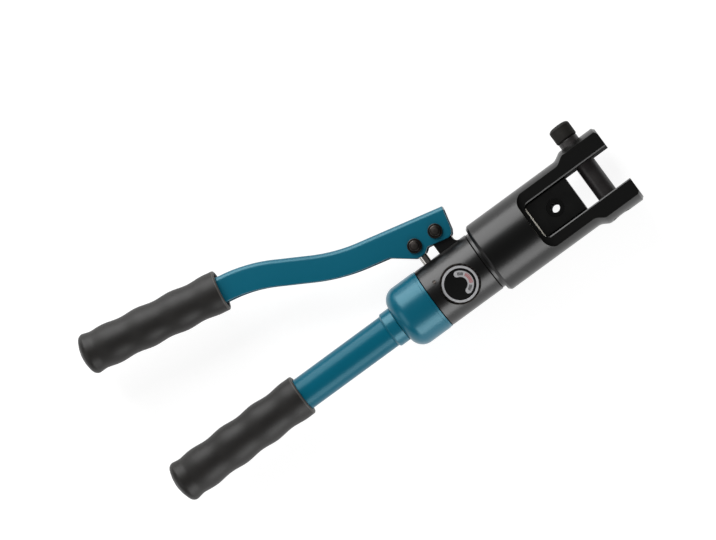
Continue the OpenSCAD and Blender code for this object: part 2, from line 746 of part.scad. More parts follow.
// End cap: a deep cup with a round shoulder, screwed over the body's tail
module reservoir_cap() {
    color(blue) difference() {
        rotate([0, 90, 0]) rotate_extrude() union() {
            translate([0, cap_back_x]) square([cap_d / 2 - cap_r, cap_r]);
            translate([cap_d / 2 - cap_r, cap_back_x + cap_r]) intersection() {
                circle(cap_r);
                translate([0, -cap_r]) square(cap_r);
            }
            translate([0, cap_back_x + cap_r]) square([cap_d / 2, cap_len - cap_r - cap_lip]);
            translate([0, body_back_x - cap_lip]) square([(cap_d + body_d) / 4, cap_lip]);
        }
        bar_x(tail_x - pass_gap, body_back_x + past, tail_d + 2 * seat_gap);
        bar_x(cap_back_x + cap_wall, tail_x, cap_space_d);
        bar_x(cap_back_x - past, tail_x, hub_d + 2 * run_gap);
    }
}

module cap_seal() {
    color(rubber) round_seal(tail_x + tail_len / 2, tail_d - seal_w, seal_w);
}

module needle_seal() {
    color(rubber) round_seal(tail_x + tail_len / 2, needle_d + 2 * run_gap + seal_w, seal_w);
}

// Return spring round the rod, between the piston and the head's inner wall
module ram_return_spring() {
    color(steel) translate([piston_front_x + seat_gap, 0, 0]) rotate([0, 90, 0])
        wire_coil(return_coil, spring_wire);
}

// Ram: piston, rod and the spigot that carries the block
module ram_piston() {
    seal_x = piston_back_x + piston_len / 2;
    color(steel) difference() {
        turned([[0, piston_back_x], [piston_d / 2, piston_back_x], [piston_d / 2, piston_front_x],
            [rod_d / 2, piston_front_x], [rod_d / 2, ram_back_x], [rod_spigot_d / 2, ram_back_x],
            [rod_spigot_d / 2, ram_back_x + rod_spigot_len], [0, ram_back_x + rod_spigot_len]]);
        round_seal_groove(seal_x, piston_d);
    }
}

module piston_seal() {
    color(rubber) round_seal(piston_back_x + piston_len / 2, piston_d - seal_w, seal_w);
}

// Ram block in the fork's slot, with its rear corners rounded as the slot's are
module ram_block() {
    side_y = ram_w / 2;
    side_z = ram_t / 2;
    color(black) difference() {
        intersection() {
            translate([ram_back_x, 0, 0]) rotate([90, 0, 90]) linear_extrude(ram_face_x - ram_back_x)
                polygon([[-side_y, ram_edge - side_z], [ram_edge - side_y, -side_z],
                    [side_y - ram_edge, -side_z], [side_y, ram_edge - side_z], [side_y, side_z - ram_edge],
                    [side_y - ram_edge, side_z], [ram_edge - side_y, side_z], [-side_y, side_z - ram_edge]]);
            translate([0, 0, -ram_t]) linear_extrude(2 * ram_t)
                open_pocket(ram_back_x, side_y, slot_r - pass_gap, 0, slot_w);
        }
        bar_x(ram_back_x - past, ram_back_x + rod_spigot_len + seat_gap, rod_spigot_d + 2 * seat_gap);
        translate([eye_x, 0, 0]) bar_z(-ram_t, ram_t, eye_bush_d + 2 * seat_gap);
    }
}

// Hardened bush in the block's cross hole
module ram_bush() {
    color(dark_steel) translate([eye_x, 0, 0]) difference() {
        bar_z(-ram_t / 2, ram_t / 2, eye_bush_d);
        bar_z(-ram_t, ram_t, eye_d);
    }
}

// Jaw pin across the fork's tips, with a stud for its knob
module jaw_pin() {
    color(black) difference() {
        union() {
            bar_y(pin_low_y, pin_neck_y, pin_d);
            bar_y(pin_neck_y, pin_neck_y + stud_len, stud_d);
        }
        translate([0, pin_ring_y, 0]) rotate([-90, 0, 0]) rotate_extrude()
            translate([pin_d / 2 - ring_wire - seat_gap, -ring_wire / 2 - seat_gap])
            square([ring_wire + past, ring_wire + 2 * seat_gap]);
    }
}

// Ring that keeps the pin from slipping out of the fork
module pin_ring() {
    color(rubber) translate([0, pin_ring_y, 0]) rotate([-90, 0, 0]) rotate_extrude()
        translate([pin_d / 2 - ring_wire / 2, 0]) circle(d = ring_wire);
}

// Knurled knob on the jaw pin
module pin_knob() {
    color(black) translate([0, pin_neck_y, 0]) rotate([-90, 0, 0]) rotate_extrude()
        polygon([[stud_d / 2 + seat_gap, 0], [knob_d / 2 - knob_edge, 0], [knob_d / 2, knob_edge],
            [knob_d / 2, knob_h - knob_edge], [knob_d / 2 - knob_edge, knob_h], [0, knob_h],
            [0, stud_len + seat_gap], [stud_d / 2 + seat_gap, stud_len + seat_gap]]);
}

// Folded lever: one channel along the spine's path, deeper round the bolts
module lever_channel() {
    count = len(fold_side(lever_depth, 0));
    last = len(lever_path) - 1;
    points = [for (at = lever_path) for (skin = [0, sheet]) for (p = fold_side(at[3], skin))
        concat([at[0], at[1]] - p[0] * up(at[2]), [p[1]])];
    ring = 2 * count;
    walls = [for (i = [0 : last - 1]) for (j = [0 : count - 2]) let (a = i * ring + j, b = a + count)
        each concat(quad(a, a + 1, a + ring + 1, a + ring), quad(b + 1, b, b + ring, b + ring + 1))];
    rims = [for (i = [0 : last - 1]) let (a = i * ring, b = a + count - 1)
        each concat(quad(a + count, a, a + ring, a + count + ring),
            quad(b, b + count, b + count + ring, b + ring))];
    ends = [for (j = [0 : count - 2]) let (a = j, b = last * ring + j)
        each concat(quad(a + 1, a, a + count, a + count + 1), quad(b, b + 1, b + count + 1, b + count))];
    color(blue) difference() {
        polyhedron(points, concat(walls, rims, ends));
        translate([pivot_x, pivot_h, 0]) bar_z(-lever_w, lever_w, pivot_bolt_d + 2 * seat_gap);
        translate([plunger_x, pivot_h, 0]) bar_z(-lever_w, lever_w, plunger_bolt_d + 2 * seat_gap);
    }
}

// Rounded outline of the folded channel, for the pocket that takes it
module fold_outline(w, depth, r) {
    union() {
        translate([r, -w / 2]) square([depth - r, w]);
        translate([0, r - w / 2]) square([r, w - 2 * r]);
        for (side = [-1, 1]) translate([r, side * (w / 2 - r)]) circle(r);
    }
}

// Outer half-section of a grip, [radius, distance from its front edge]
function grip_side(d) = concat([[0, 0]],
    arc([grip_radius(d, lip_r) - lip_r, lip_r], lip_r, -90, 0),
    [for (at = [lip_r + wave_step : wave_step : grip_len - heel_r - wave_step / 2]) [grip_radius(d, at), at]],
    arc([grip_radius(d, grip_len - heel_r) - heel_r, grip_len - heel_r], heel_r, 0, 90),
    [[0, grip_len]]);

// Rubber grip of the lever, slipped over the channel
module lever_grip() {
    pocket_len = grip_len - grip_end;
    color(rubber) translate([grip_at[0], grip_at[1], 0]) rotate([0, 0, -slope_rear]) rotate([90, 0, -90])
        difference() {
            rotate_extrude() polygon(grip_side(lever_grip_d));
            translate([-lever_depth / 2 - seat_gap, 0, -past]) linear_extrude(pocket_len + past)
                fold_outline(lever_w + 2 * seat_gap, lever_depth + 2 * seat_gap, fold_r);
        }
}

// A bolt along Z with its head on the dial's side
module side_bolt(d) {
    shank_z = -lever_w / 2 - nut_h;
    head_z = lever_w / 2;
    union() {
        bar_z(shank_z, head_z, d);
        translate([0, 0, head_z]) rotate_extrude() polygon([[0, 0], [bolt_head_d / 2, 0],
            [bolt_head_d / 2, bolt_head_h - bolt_edge], [bolt_head_d / 2 - bolt_edge, bolt_head_h],
            [0, bolt_head_h]]);
    }
}

module pivot_bolt() {
    color(dark_steel) translate([pivot_x, pivot_h, 0]) side_bolt(pivot_bolt_d);
}

module plunger_bolt() {
    color(dark_steel) translate([plunger_x, pivot_h, 0]) side_bolt(plunger_bolt_d);
}

// A hexagon nut under the lever's far flange
module side_nut(d) {
    difference() {
        translate([0, 0, -lever_w / 2 - nut_h]) cylinder(h = nut_h, d = nut_af / cos(30), $fn = 6);
        bar_z(-lever_w, lever_w, d + 2 * seat_gap);
    }
}

module bolt_nuts() {
    color(dark_steel) {
        translate([pivot_x, pivot_h, 0]) side_nut(pivot_bolt_d);
        translate([plunger_x, pivot_h, 0]) side_nut(plunger_bolt_d);
    }
}

// Pump plunger: a ground rod with an eye that the lever's bolt crosses in a short slot
module pump_plunger() {
    slide = plunger_set * (1 - cos(lever_close));
    hole = plunger_bolt_d + 4 * run_gap;
    color(steel) translate([plunger_x, 0, 0]) difference() {
        union() {
            bar_y(plunger_low, pivot_h, plunger_d);
            translate([0, pivot_h, 0]) bar_z(-ear_t / 2, ear_t / 2, plunger_eye_d);
        }
        translate([0, pivot_h, 0]) {
            bar_z(-lever_w, lever_w, hole);
            translate([slide, 0, 0]) bar_z(-lever_w, lever_w, hole);
            translate([0, -hole / 2, -lever_w]) cube([slide, hole, 2 * lever_w]);
        }
    }
}

// Collar of the turning handle: hub in the cap, flange outside, spigot in the tube, nipple for the bladder
module handle_collar() {
    nipple_x = tube_x - spigot_in - nipple_len;
    spigot_r = tube_bore / 2 - seat_gap;
    color(blue) difference() {
        turned([[0, nipple_x], [nipple_d / 2, nipple_x], [nipple_d / 2, tube_x - spigot_in],
            [spigot_r, tube_x - spigot_in], [spigot_r, tube_x], [collar_d / 2 - collar_edge, tube_x],
            [collar_d / 2, tube_x + collar_edge], [collar_d / 2, collar_x], [hub_d / 2, collar_x],
            [hub_d / 2, clip_x], [hub_d / 2 - clip_groove, clip_x],
            [hub_d / 2 - clip_groove, clip_x + clip_w + 2 * seat_gap],
            [hub_d / 2, clip_x + clip_w + 2 * seat_gap], [hub_d / 2, hub_x], [0, hub_x]]);
        bar_x(nipple_x - past, web_x, nipple_bore);
        bar_x(web_x - past, hub_x + past, needle_d + 2 * seat_gap);
        for (i = [0 : oil_holes - 1]) rotate([360 * i / oil_holes, 0, 0])
            translate([0, (needle_d + nipple_bore) / 4, 0]) bar_x(web_x - past, hub_x + past, oil_hole_d);
    }
}

// Clip that keeps the collar in the cap
module collar_clip() {
    color(steel) difference() {
        bar_x(clip_x + seat_gap, clip_x + seat_gap + clip_w, clip_d);
        bar_x(clip_x - past, clip_x + clip_w + past, hub_d - 2 * clip_groove + 2 * seat_gap);
    }
}

module handle_tube() {
    color(blue) difference() {
        bar_x(tube_back_x, tube_x, tube_d);
        bar_x(tube_back_x - past, tube_x + past, tube_bore);
    }
}

// Rubber grip of the handle, slipped over the tube
module handle_grip() {
    color(rubber) translate([grip_x, 0, 0]) rotate([0, -90, 0]) difference() {
        rotate_extrude() polygon(grip_side(handle_grip_d));
        bar_z(-past, grip_len - grip_end, tube_d + 2 * seat_gap);
    }
}

// Needle that the handle turns against the release seat
module release_needle() {
    color(steel) turned([[0, needle_back_x], [needle_d / 2, needle_back_x],
        [needle_d / 2, needle_x - needle_cone], [needle_tip / 2, needle_x], [0, needle_x]]);
}

// Oil bladder in the handle tube, its neck on the collar's nipple
module oil_bladder() {
    neck_x = tube_x - spigot_in - pass_gap;
    color(rubber) difference() {
        bar_x(neck_x - bladder_len, neck_x, bladder_d);
        bar_x(neck_x - bladder_len + bladder_wall, neck_x + past, bladder_in);
    }
}

module bladder_clamp() {
    clamp_x = tube_x - spigot_in - nipple_len / 2 - clamp_w / 2;
    color(steel) difference() {
        bar_x(clamp_x, clamp_x + clamp_w, bladder_d + 2 * seat_gap + 2 * clamp_t);
        bar_x(clamp_x - past, clamp_x + clamp_w + past, bladder_d + 2 * seat_gap);
    }
}

module tube_plug() {
    color(dark_steel) bar_x(tube_back_x, tube_back_x + tube_plug_len, tube_bore - 2 * seat_gap);
}

fork_head();
rod_bush();
head_lock_ring();
pump_body();
plunger_gland();
plunger_seal();
suction_seat();
suction_spring();
delivery_cage();
delivery_spring();
relief_screw();
relief_spring();
passage_plug();
dial_plate();
dial_bezel();
reservoir_cap();
cap_seal();
ram_return_spring();
needle_seal();
suction_ball();
delivery_ball();
relief_ball();
ram_piston();
piston_seal();
ram_block();
ram_bush();
jaw_pin();
pin_knob();
pin_ring();
lever_channel();
lever_grip();
pivot_bolt();
plunger_bolt();
bolt_nuts();
pump_plunger();
handle_collar();
handle_tube();
handle_grip();
release_needle();
oil_bladder();
bladder_clamp();
tube_plug();
collar_clip();
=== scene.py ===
import json
import math

import bmesh
import bpy
from mathutils import Matrix, Vector


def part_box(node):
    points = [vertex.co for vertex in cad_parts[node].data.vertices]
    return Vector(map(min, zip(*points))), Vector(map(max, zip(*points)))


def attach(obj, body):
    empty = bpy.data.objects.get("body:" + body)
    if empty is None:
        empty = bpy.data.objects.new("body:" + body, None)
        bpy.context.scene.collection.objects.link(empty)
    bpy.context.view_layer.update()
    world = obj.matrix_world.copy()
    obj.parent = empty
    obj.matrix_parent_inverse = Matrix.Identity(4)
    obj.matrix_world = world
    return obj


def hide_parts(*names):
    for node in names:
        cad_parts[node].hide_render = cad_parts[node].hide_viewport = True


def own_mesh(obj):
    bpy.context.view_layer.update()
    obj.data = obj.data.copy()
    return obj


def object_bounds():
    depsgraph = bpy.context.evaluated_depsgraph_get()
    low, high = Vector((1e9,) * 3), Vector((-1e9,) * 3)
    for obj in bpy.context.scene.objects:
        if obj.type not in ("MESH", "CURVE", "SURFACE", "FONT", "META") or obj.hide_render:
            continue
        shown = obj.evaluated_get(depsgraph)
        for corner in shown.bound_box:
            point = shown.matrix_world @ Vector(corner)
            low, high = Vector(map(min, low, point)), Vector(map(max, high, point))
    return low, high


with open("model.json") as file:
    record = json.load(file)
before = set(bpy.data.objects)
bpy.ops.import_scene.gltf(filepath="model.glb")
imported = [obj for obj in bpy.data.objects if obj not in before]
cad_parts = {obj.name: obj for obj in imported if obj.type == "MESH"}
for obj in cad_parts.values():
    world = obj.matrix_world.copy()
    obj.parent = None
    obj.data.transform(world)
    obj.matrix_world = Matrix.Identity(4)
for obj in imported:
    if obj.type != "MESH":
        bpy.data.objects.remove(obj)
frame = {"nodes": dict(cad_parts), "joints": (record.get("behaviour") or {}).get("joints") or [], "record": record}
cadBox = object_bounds()
mm = 0.001
weld = 0.002 * mm  # points closer than this are one
nodes = frame["nodes"]
record = frame["record"]
joints = {joint["name"]: joint for joint in frame["joints"]}
bodyOf = {node: body for body, members in record["behaviour"]["bodies"].items() for node in members}
slotOf = {part["node"]: part["material_slot"] for part in record["subparts"]}
print("frame loaded:", len(nodes), "nodes")


# Small tools

def hexLinear(code):
    channels = [int(code[i:i + 2], 16) / 255 for i in (1, 3, 5)]
    linear = [c / 12.92 if c <= 0.04045 else ((c + 0.055) / 1.055) ** 2.4 for c in channels]
    return (*linear, 1)


def addNode(tree, kind, inputs=None, **settings):
    node = tree.nodes.new(kind)
    for name, value in settings.items():
        setattr(node, name, value)
    for name, value in (inputs or {}).items():
        if isinstance(value, bpy.types.NodeSocket):
            tree.links.new(value, node.inputs[name])
        else:
            node.inputs[name].default_value = value
    return node


def newMaterial(name, **sockets):
    material = bpy.data.materials.new(name)
    material.use_nodes = True
    tree = material.node_tree
    shader = tree.nodes["Principled BSDF"]
    for socket, value in sockets.items():
        shader.inputs[socket.replace("_", " ")].default_value = value
    at = addNode(tree, "ShaderNodeTexCoord").outputs["Object"]
    return material, tree, shader, at


def perMetre(sizeMm):
    return 1 / (sizeMm * mm)  # a texture's scale for a feature of that size


def wavesPerMetre(sizeMm):
    return perMetre(sizeMm) * math.pi / 10  # a wave texture of scale 1 repeats every pi / 10 metres


def boxMm(node):
    low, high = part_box(node)
    return low / mm, high / mm


def centreMm(node):
    low, high = boxMm(node)
    return (low + high) / 2


def camelName(node):
    words = node.split("_")
    return words[0] + "".join(word.capitalize() for word in words[1:])


def place(x, y, z, aboutZ=0):
    return Matrix.Translation(Vector((x, y, z)) * mm) @ Matrix.Rotation(aboutZ, 4, "Z")


def vertsOf(items):
    return [item for item in items if isinstance(item, bmesh.types.BMVert)]


def edgesOf(items):
    return [item for item in items if isinstance(item, bmesh.types.BMEdge)]


def polyline(bm, points, closed=False):
    verts = [bm.verts.new([value * mm for value in point]) for point in points]
    ends = verts[:1] if closed else []
    for a, b in zip(verts, verts[1:] + ends):
        bm.edges.new((a, b))
    return verts


def roundOff(bm, corners, sizeMm, steps, affect="VERTICES", clamp=False):
    bmesh.ops.bevel(bm, geom=corners, offset=sizeMm * mm, offset_type="OFFSET", segments=steps, profile=0.5,
                    material=-1, affect=affect, clamp_overlap=clamp)


def lathe(outline, corners, turn, steps=96, cornerSteps=5, closed=False):
    bm = bmesh.new()  # outline holds [along, radius] in mm, corners gives {index: rounding in mm}
    verts = polyline(bm, [(along, radius, 0) for along, radius in outline], closed)
    for rounding in sorted(set(corners.values())):
        chosen = [verts[i] for i, size in corners.items() if size == rounding]
        roundOff(bm, chosen, rounding, cornerSteps, clamp=True)
    bmesh.ops.spin(bm, geom=bm.verts[:] + bm.edges[:], cent=(0, 0, 0), axis=(1, 0, 0), angle=2 * math.pi,
                   steps=steps, use_merge=True)
    bmesh.ops.remove_doubles(bm, verts=bm.verts, dist=weld)
    bmesh.ops.transform(bm, matrix=turn, verts=bm.verts)
    return bm


def solidCopy(node, flatDeg=0.4):
    bm = bmesh.new()  # the CAD solid, with its flat faces joined again
    bm.from_mesh(nodes[node].data)
    bmesh.ops.remove_doubles(bm, verts=bm.verts, dist=weld)
    bmesh.ops.dissolve_limit(bm, angle_limit=math.radians(flatDeg), verts=bm.verts, edges=bm.edges)
    for face in bm.faces:
        face.material_index = 0
    return bm


def asObject(bm, name):
    bmesh.ops.recalc_face_normals(bm, faces=bm.faces)
    mesh = bpy.data.meshes.new(name)
    bm.to_mesh(mesh)
    bm.free()
    item = bpy.data.objects.new(name, mesh)
    bpy.context.scene.collection.objects.link(item)
    return item


def finishMesh(bm, name, material, body, sharpDeg=35):
    bmesh.ops.remove_doubles(bm, verts=bm.verts, dist=weld)
    piece = asObject(bm, name)
    piece.data.shade_smooth()
    piece.data.set_sharp_from_angle(angle=math.radians(sharpDeg))
    piece.data.materials.append(material)
    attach(piece, body)
    return piece


def standFor(bm, node, material, sharpDeg=35):
    piece = finishMesh(bm, camelName(node), material, bodyOf[node], sharpDeg)
    if "custom_normal" in piece.data.attributes:  # a solid's own shading doesn't fit the new faces
        piece.data.attributes.remove(piece.data.attributes["custom_normal"])
    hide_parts(node)
    return piece


def roundEdges(piece, widthMm, limitDeg=30):
    bevel = piece.modifiers.new("edges", "BEVEL")
    bevel.width = widthMm * mm
    bevel.segments = 3
    bevel.limit_method = "ANGLE"
    bevel.angle_limit = math.radians(limitDeg)
    bevel.harden_normals = True


# Materials: the finest grains and tool lines are drawn coarser than they are, so that they show

def satinBlack(name, specular):
    # Satin black enamel over turned steel: nearly black face on, broad soft grey bands from each softbox
    material, tree, shader, at = newMaterial(name, Specular_IOR_Level=specular)
    peel = addNode(tree, "ShaderNodeTexNoise", {"Vector": at, "Scale": perMetre(1.4), "Detail": 4.0})
    grit = addNode(tree, "ShaderNodeTexNoise", {"Vector": at, "Scale": perMetre(0.5), "Detail": 2.0})
    cloud = addNode(tree, "ShaderNodeTexNoise", {"Vector": at, "Scale": perMetre(28), "Detail": 3.0})
    tone = addNode(tree, "ShaderNodeValToRGB", {"Fac": cloud.outputs["Fac"]})
    tone.color_ramp.elements[0].color = hexLinear("#060606")
    tone.color_ramp.elements[1].color = hexLinear("#0b0b0a")
    gloss = addNode(tree, "ShaderNodeMapRange",
                    {"Value": peel.outputs["Fac"], "To Min": 0.28, "To Max": 0.33})
    bump = addNode(tree, "ShaderNodeBump",
                   {"Height": grit.outputs["Fac"], "Strength": 0.06, "Distance": 0.1 * mm})
    tree.links.new(tone.outputs["Color"], shader.inputs["Base Color"])
    tree.links.new(gloss.outputs["Result"], shader.inputs["Roughness"])
    tree.links.new(bump.outputs["Normal"], shader.inputs["Normal"])
    return material


def milledBlack(name, dark, light, specular=0.5, rough=0.42):
    # Black oxide on milled steel: darker and closer than the enamel, with faint cutter lines
    material, tree, shader, at = newMaterial(name, Specular_IOR_Level=specular)
    lines = addNode(tree, "ShaderNodeTexWave",
                    {"Vector": at, "Scale": wavesPerMetre(0.9), "Distortion": 1.5, "Detail": 2.0,
                     "Detail Scale": 3.0}, bands_direction="X")
    cloud = addNode(tree, "ShaderNodeTexNoise", {"Vector": at, "Scale": perMetre(9), "Detail": 4.0})
    tone = addNode(tree, "ShaderNodeValToRGB", {"Fac": cloud.outputs["Fac"]})
    tone.color_ramp.elements[0].color = hexLinear(dark)
    tone.color_ramp.elements[1].color = hexLinear(light)
    gloss = addNode(tree, "ShaderNodeMapRange",
                    {"Value": cloud.outputs["Fac"], "To Min": rough - 0.08, "To Max": rough + 0.08})
    bump = addNode(tree, "ShaderNodeBump",
                   {"Height": lines.outputs["Fac"], "Strength": 0.05, "Distance": 0.05 * mm})
    tree.links.new(tone.outputs["Color"], shader.inputs["Base Color"])
    tree.links.new(gloss.outputs["Result"], shader.inputs["Roughness"])
    tree.links.new(bump.outputs["Normal"], shader.inputs["Normal"])
    return material


def tealEnamel(name, specular):
    # Stoved gloss enamel: deep teal with soft pale bands, a little orange peel
    material, tree, shader, at = newMaterial(name, Specular_IOR_Level=specular,
                                             Specular_Tint=hexLinear("#bcf2ff"))
    peel = addNode(tree, "ShaderNodeTexNoise", {"Vector": at, "Scale": perMetre(3), "Detail": 1.0})
    cloud = addNode(tree, "ShaderNodeTexNoise", {"Vector": at, "Scale": perMetre(35), "Detail": 3.0})
    tone = addNode(tree, "ShaderNodeValToRGB", {"Fac": cloud.outputs["Fac"]})
    tone.color_ramp.elements[0].color = hexLinear("#06586d")
    tone.color_ramp.elements[1].color = hexLinear("#085d73")
    gloss = addNode(tree, "ShaderNodeMapRange",
                    {"Value": peel.outputs["Fac"], "To Min": 0.28, "To Max": 0.31})
    bump = addNode(tree, "ShaderNodeBump",
                   {"Height": peel.outputs["Fac"], "Strength": 0.012, "Distance": 0.1 * mm})
    tree.links.new(tone.outputs["Color"], shader.inputs["Base Color"])
    tree.links.new(gloss.outputs["Result"], shader.inputs["Roughness"])
    tree.links.new(bump.outputs["Normal"], shader.inputs["Normal"])
    return material


def mouldedRubber(name, dark, light):
    # Moulded grip rubber: warm charcoal, matt, with a fine grain and paler scuffs
    material, tree, shader, at = newMaterial(name, Specular_IOR_Level=0.34)
    grain = addNode(tree, "ShaderNodeTexNoise", {"Vector": at, "Scale": perMetre(0.7), "Detail": 3.0})
    scuff = addNode(tree, "ShaderNodeTexNoise", {"Vector": at, "Scale": perMetre(14), "Detail": 5.0})
    tone = addNode(tree, "ShaderNodeValToRGB", {"Fac": scuff.outputs["Fac"]})
    tone.color_ramp.elements[0].color = hexLinear(dark)
    tone.color_ramp.elements[1].color = hexLinear(light)
    gloss = addNode(tree, "ShaderNodeMapRange",
                    {"Value": scuff.outputs["Fac"], "To Min": 0.46, "To Max": 0.54})
    bump = addNode(tree, "ShaderNodeBump",
                   {"Height": grain.outputs["Fac"], "Strength": 0.16, "Distance": 0.15 * mm})
    tree.links.new(tone.outputs["Color"], shader.inputs["Base Color"])
    tree.links.new(gloss.outputs["Result"], shader.inputs["Roughness"])
    tree.links.new(bump.outputs["Normal"], shader.inputs["Normal"])
    return material


def metal(name, dark, light, rough, lineMm, direction):
    # A worked bare metal: two close tones, lines from the tool that cut it, roughness that follows them
    material, tree, shader, at = newMaterial(name, Metallic=1.0)
    lines = addNode(tree, "ShaderNodeTexWave",
                    {"Vector": at, "Scale": wavesPerMetre(lineMm), "Distortion": 0.8, "Detail": 2.0,
                     "Detail Scale": 2.0}, bands_direction=direction)
    tone = addNode(tree, "ShaderNodeValToRGB", {"Fac": lines.outputs["Fac"]})
    tone.color_ramp.elements[0].color = hexLinear(dark)
    tone.color_ramp.elements[1].color = hexLinear(light)
    gloss = addNode(tree, "ShaderNodeMapRange",
                    {"Value": lines.outputs["Fac"], "To Min": rough - 0.04, "To Max": rough + 0.04})
    bump = addNode(tree, "ShaderNodeBump",
                   {"Height": lines.outputs["Fac"], "Strength": 0.04, "Distance": 0.04 * mm})
    tree.links.new(tone.outputs["Color"], shader.inputs["Base Color"])
    tree.links.new(gloss.outputs["Result"], shader.inputs["Roughness"])
    tree.links.new(bump.outputs["Normal"], shader.inputs["Normal"])
    return material


def evenCoat(name, dark, light, specular, rough):
    # Screen ink, or plain seal rubber: one flat tone with a faint mottle
    material, tree, shader, at = newMaterial(name, Specular_IOR_Level=specular)
    mottle = addNode(tree, "ShaderNodeTexNoise", {"Vector": at, "Scale": perMetre(1.2), "Detail": 3.0})
    tone = addNode(tree, "ShaderNodeValToRGB", {"Fac": mottle.outputs["Fac"]})
    tone.color_ramp.elements[0].color = hexLinear(dark)
    tone.color_ramp.elements[1].color = hexLinear(light)
    gloss = addNode(tree, "ShaderNodeMapRange",
                    {"Value": mottle.outputs["Fac"], "To Min": rough - 0.05, "To Max": rough + 0.05})
    tree.links.new(tone.outputs["Color"], shader.inputs["Base Color"])
    tree.links.new(gloss.outputs["Result"], shader.inputs["Roughness"])
    return material


headPaint = satinBlack("satin black enamel", 0.42)
bodyPaint = satinBlack("semi-gloss black enamel", 0.48)  # a little livelier than the head
blackOxide = milledBlack("black oxide on milled steel", "#0b0b0b", "#131312")
ramOxide = milledBlack("black oxide on ground steel", "#090909", "#0f0f0e", 0.2)  # deep, hardly any shine
knurlOxide = milledBlack("matt black oxide", "#1c1b19", "#262421", 0.3, 0.7)  # dull charcoal
slotSteel = milledBlack("dry black oxide", "#090909", "#0f0f0e", 0.08, 0.9)  # walls seen edge-on stay dark
pinSteelPaintedSheen = milledBlack("oiled pin steel", "#242222", "#343030")  # warm grey, made lighter than the other oxide as a painted highlight along the pin
bluePaint = tealEnamel("teal stoved enamel", 0.56)
tubePaint = tealEnamel("rubbed teal enamel", 0.25)  # duller where the hand slides
gripRubber = mouldedRubber("moulded grip rubber", "#171615", "#1f1d1b")
paintedHighlightRubber = mouldedRubber("rubbed grip rubber", "#403e3b", "#4e4b48")  # painted highlight: a paler line round each mouth
paintedHighlightEdge = metal("rubbed steel edge", "#dcd9cf", "#eceae2", 0.75, 0.6, "Y")  # painted highlight: a thin cream line
boltSteel = metal("blackened bolt steel", "#2b2826", "#4a4643", 0.42, 0.6, "Z")  # brown-black
chromeSteel = metal("ground hard chrome", "#a9a6a2", "#c4c2be", 0.14, 0.7, "Y")  # the brightest metal here
groundSteel = metal("ground steel", "#8f9194", "#a6a8aa", 0.28, 0.6, "X")
springSteel = metal("drawn spring wire", "#6b6c70", "#85868a", 0.34, 0.5, "X")
bronze = metal("turned bronze", "#8f6f35", "#ad8a4a", 0.3, 0.6, "X")  # warm yellow
dialBlack = evenCoat("black dial enamel", "#0a0a0a", "#101010", 0.15, 0.4)
dialSilver = evenCoat("silver dial print", "#9a9a9c", "#b4b4b6", 0.5, 0.45)
dialRed = evenCoat("red dial print", "#98484a", "#a85a5a", 0.5, 0.5)
sealRubber = evenCoat("nitrile seal rubber", "#161616", "#202020", 0.5, 0.55)

slotFinish = {"black_head": blackOxide, "black_body": bodyPaint, "blue_paint": bluePaint,
              "grip_rubber": gripRubber, "seal_rubber": sealRubber, "dark_steel": boltSteel,
              "bright_steel": groundSteel, "spring_steel": springSteel, "chrome": chromeSteel,
              "bronze": bronze, "dial": dialBlack}
for node, slot in slotOf.items():
    nodes[node].data.materials.clear()
    nodes[node].data.materials.append(slotFinish[slot])
print("materials made:", len(bpy.data.materials))


# Pieces that keep the solid's form, with their edges broken as a machinist would

edgeWidths = {"pump_body": 0.35, "reservoir_cap": 0.4, "handle_collar": 0.5, "handle_tube": 0.3,
              "ram_bush": 0.3, "head_lock_ring": 0.3, "dial_bezel": 0.25, "pump_plunger": 0.4,
              "passage_plug": 0.3, "plunger_gland": 0.3}
edgeFinish = {"ram_bush": slotSteel, "head_lock_ring": bodyPaint, "passage_plug": boltSteel,
              "handle_tube": tubePaint}
for node, width in edgeWidths.items():
    finish = edgeFinish.get(node, slotFinish[slotOf[node]])
    roundEdges(standFor(solidCopy(node), node, finish), width)
print("edged pieces:", len(edgeWidths))


# Ram block: its rear edges are filed, and the filed faces carry a painted highlight in a pale material

ram = {"filed": 1.1, "filedSlope": 14}


def makeRam():
    low, high = boxMm("ram_block")
    bm, slope = solidCopy("ram_block"), math.radians(ram["filedSlope"])
    for side in (-1, 1):
        cut = bmesh.ops.bisect_plane(bm, geom=bm.verts[:] + bm.edges[:] + bm.faces[:], clear_outer=True,
                                     plane_co=Vector((low.x + ram["filed"], 0, side * high.z)) * mm,
                                     plane_no=(-math.sin(slope), 0, side * math.cos(slope)))
        # the filed faces take the second material, the painted highlight
        bmesh.ops.edgeloop_fill(bm, edges=edgesOf(cut["geom_cut"]), mat_nr=1)
    piece = standFor(bm, "ram_block", ramOxide, sharpDeg=20)
    piece.data.materials.append(paintedHighlightEdge)


makeRam()
print("ram filed")


# Fork head: a turned blank, milled to two flats and a slot, cross-bored for the pin

fork = {"tipBack": 11, "taper": 6.5, "tipEdge": 2, "rearEdge": 2, "rearRound": 0.6, "taperRound": 2,
        "tipRound": 1.2, "flat": 17, "flatCorner": 10, "flatHalf": 24.95, "flatLead": 2.6, "slotHalf": 15.3,
        "slotBack": 57.4, "slotCorner": 5, "slotStep": 0.001, "cornerPast": 0.5, "cornerSteps": 14,
        "boreRadius": 8.02, "boreSteps": 72, "wallAt": -70.5, "spigotRadius": 22.02, "bushRadius": 13.62,
        "bushLead": 1, "filed": 0.9, "filedSlope": 30, "wallFacing": 0.99, "wallBand": 0.1, "inside": 0.01,
        "beyond": 40, "turnSteps": 180}


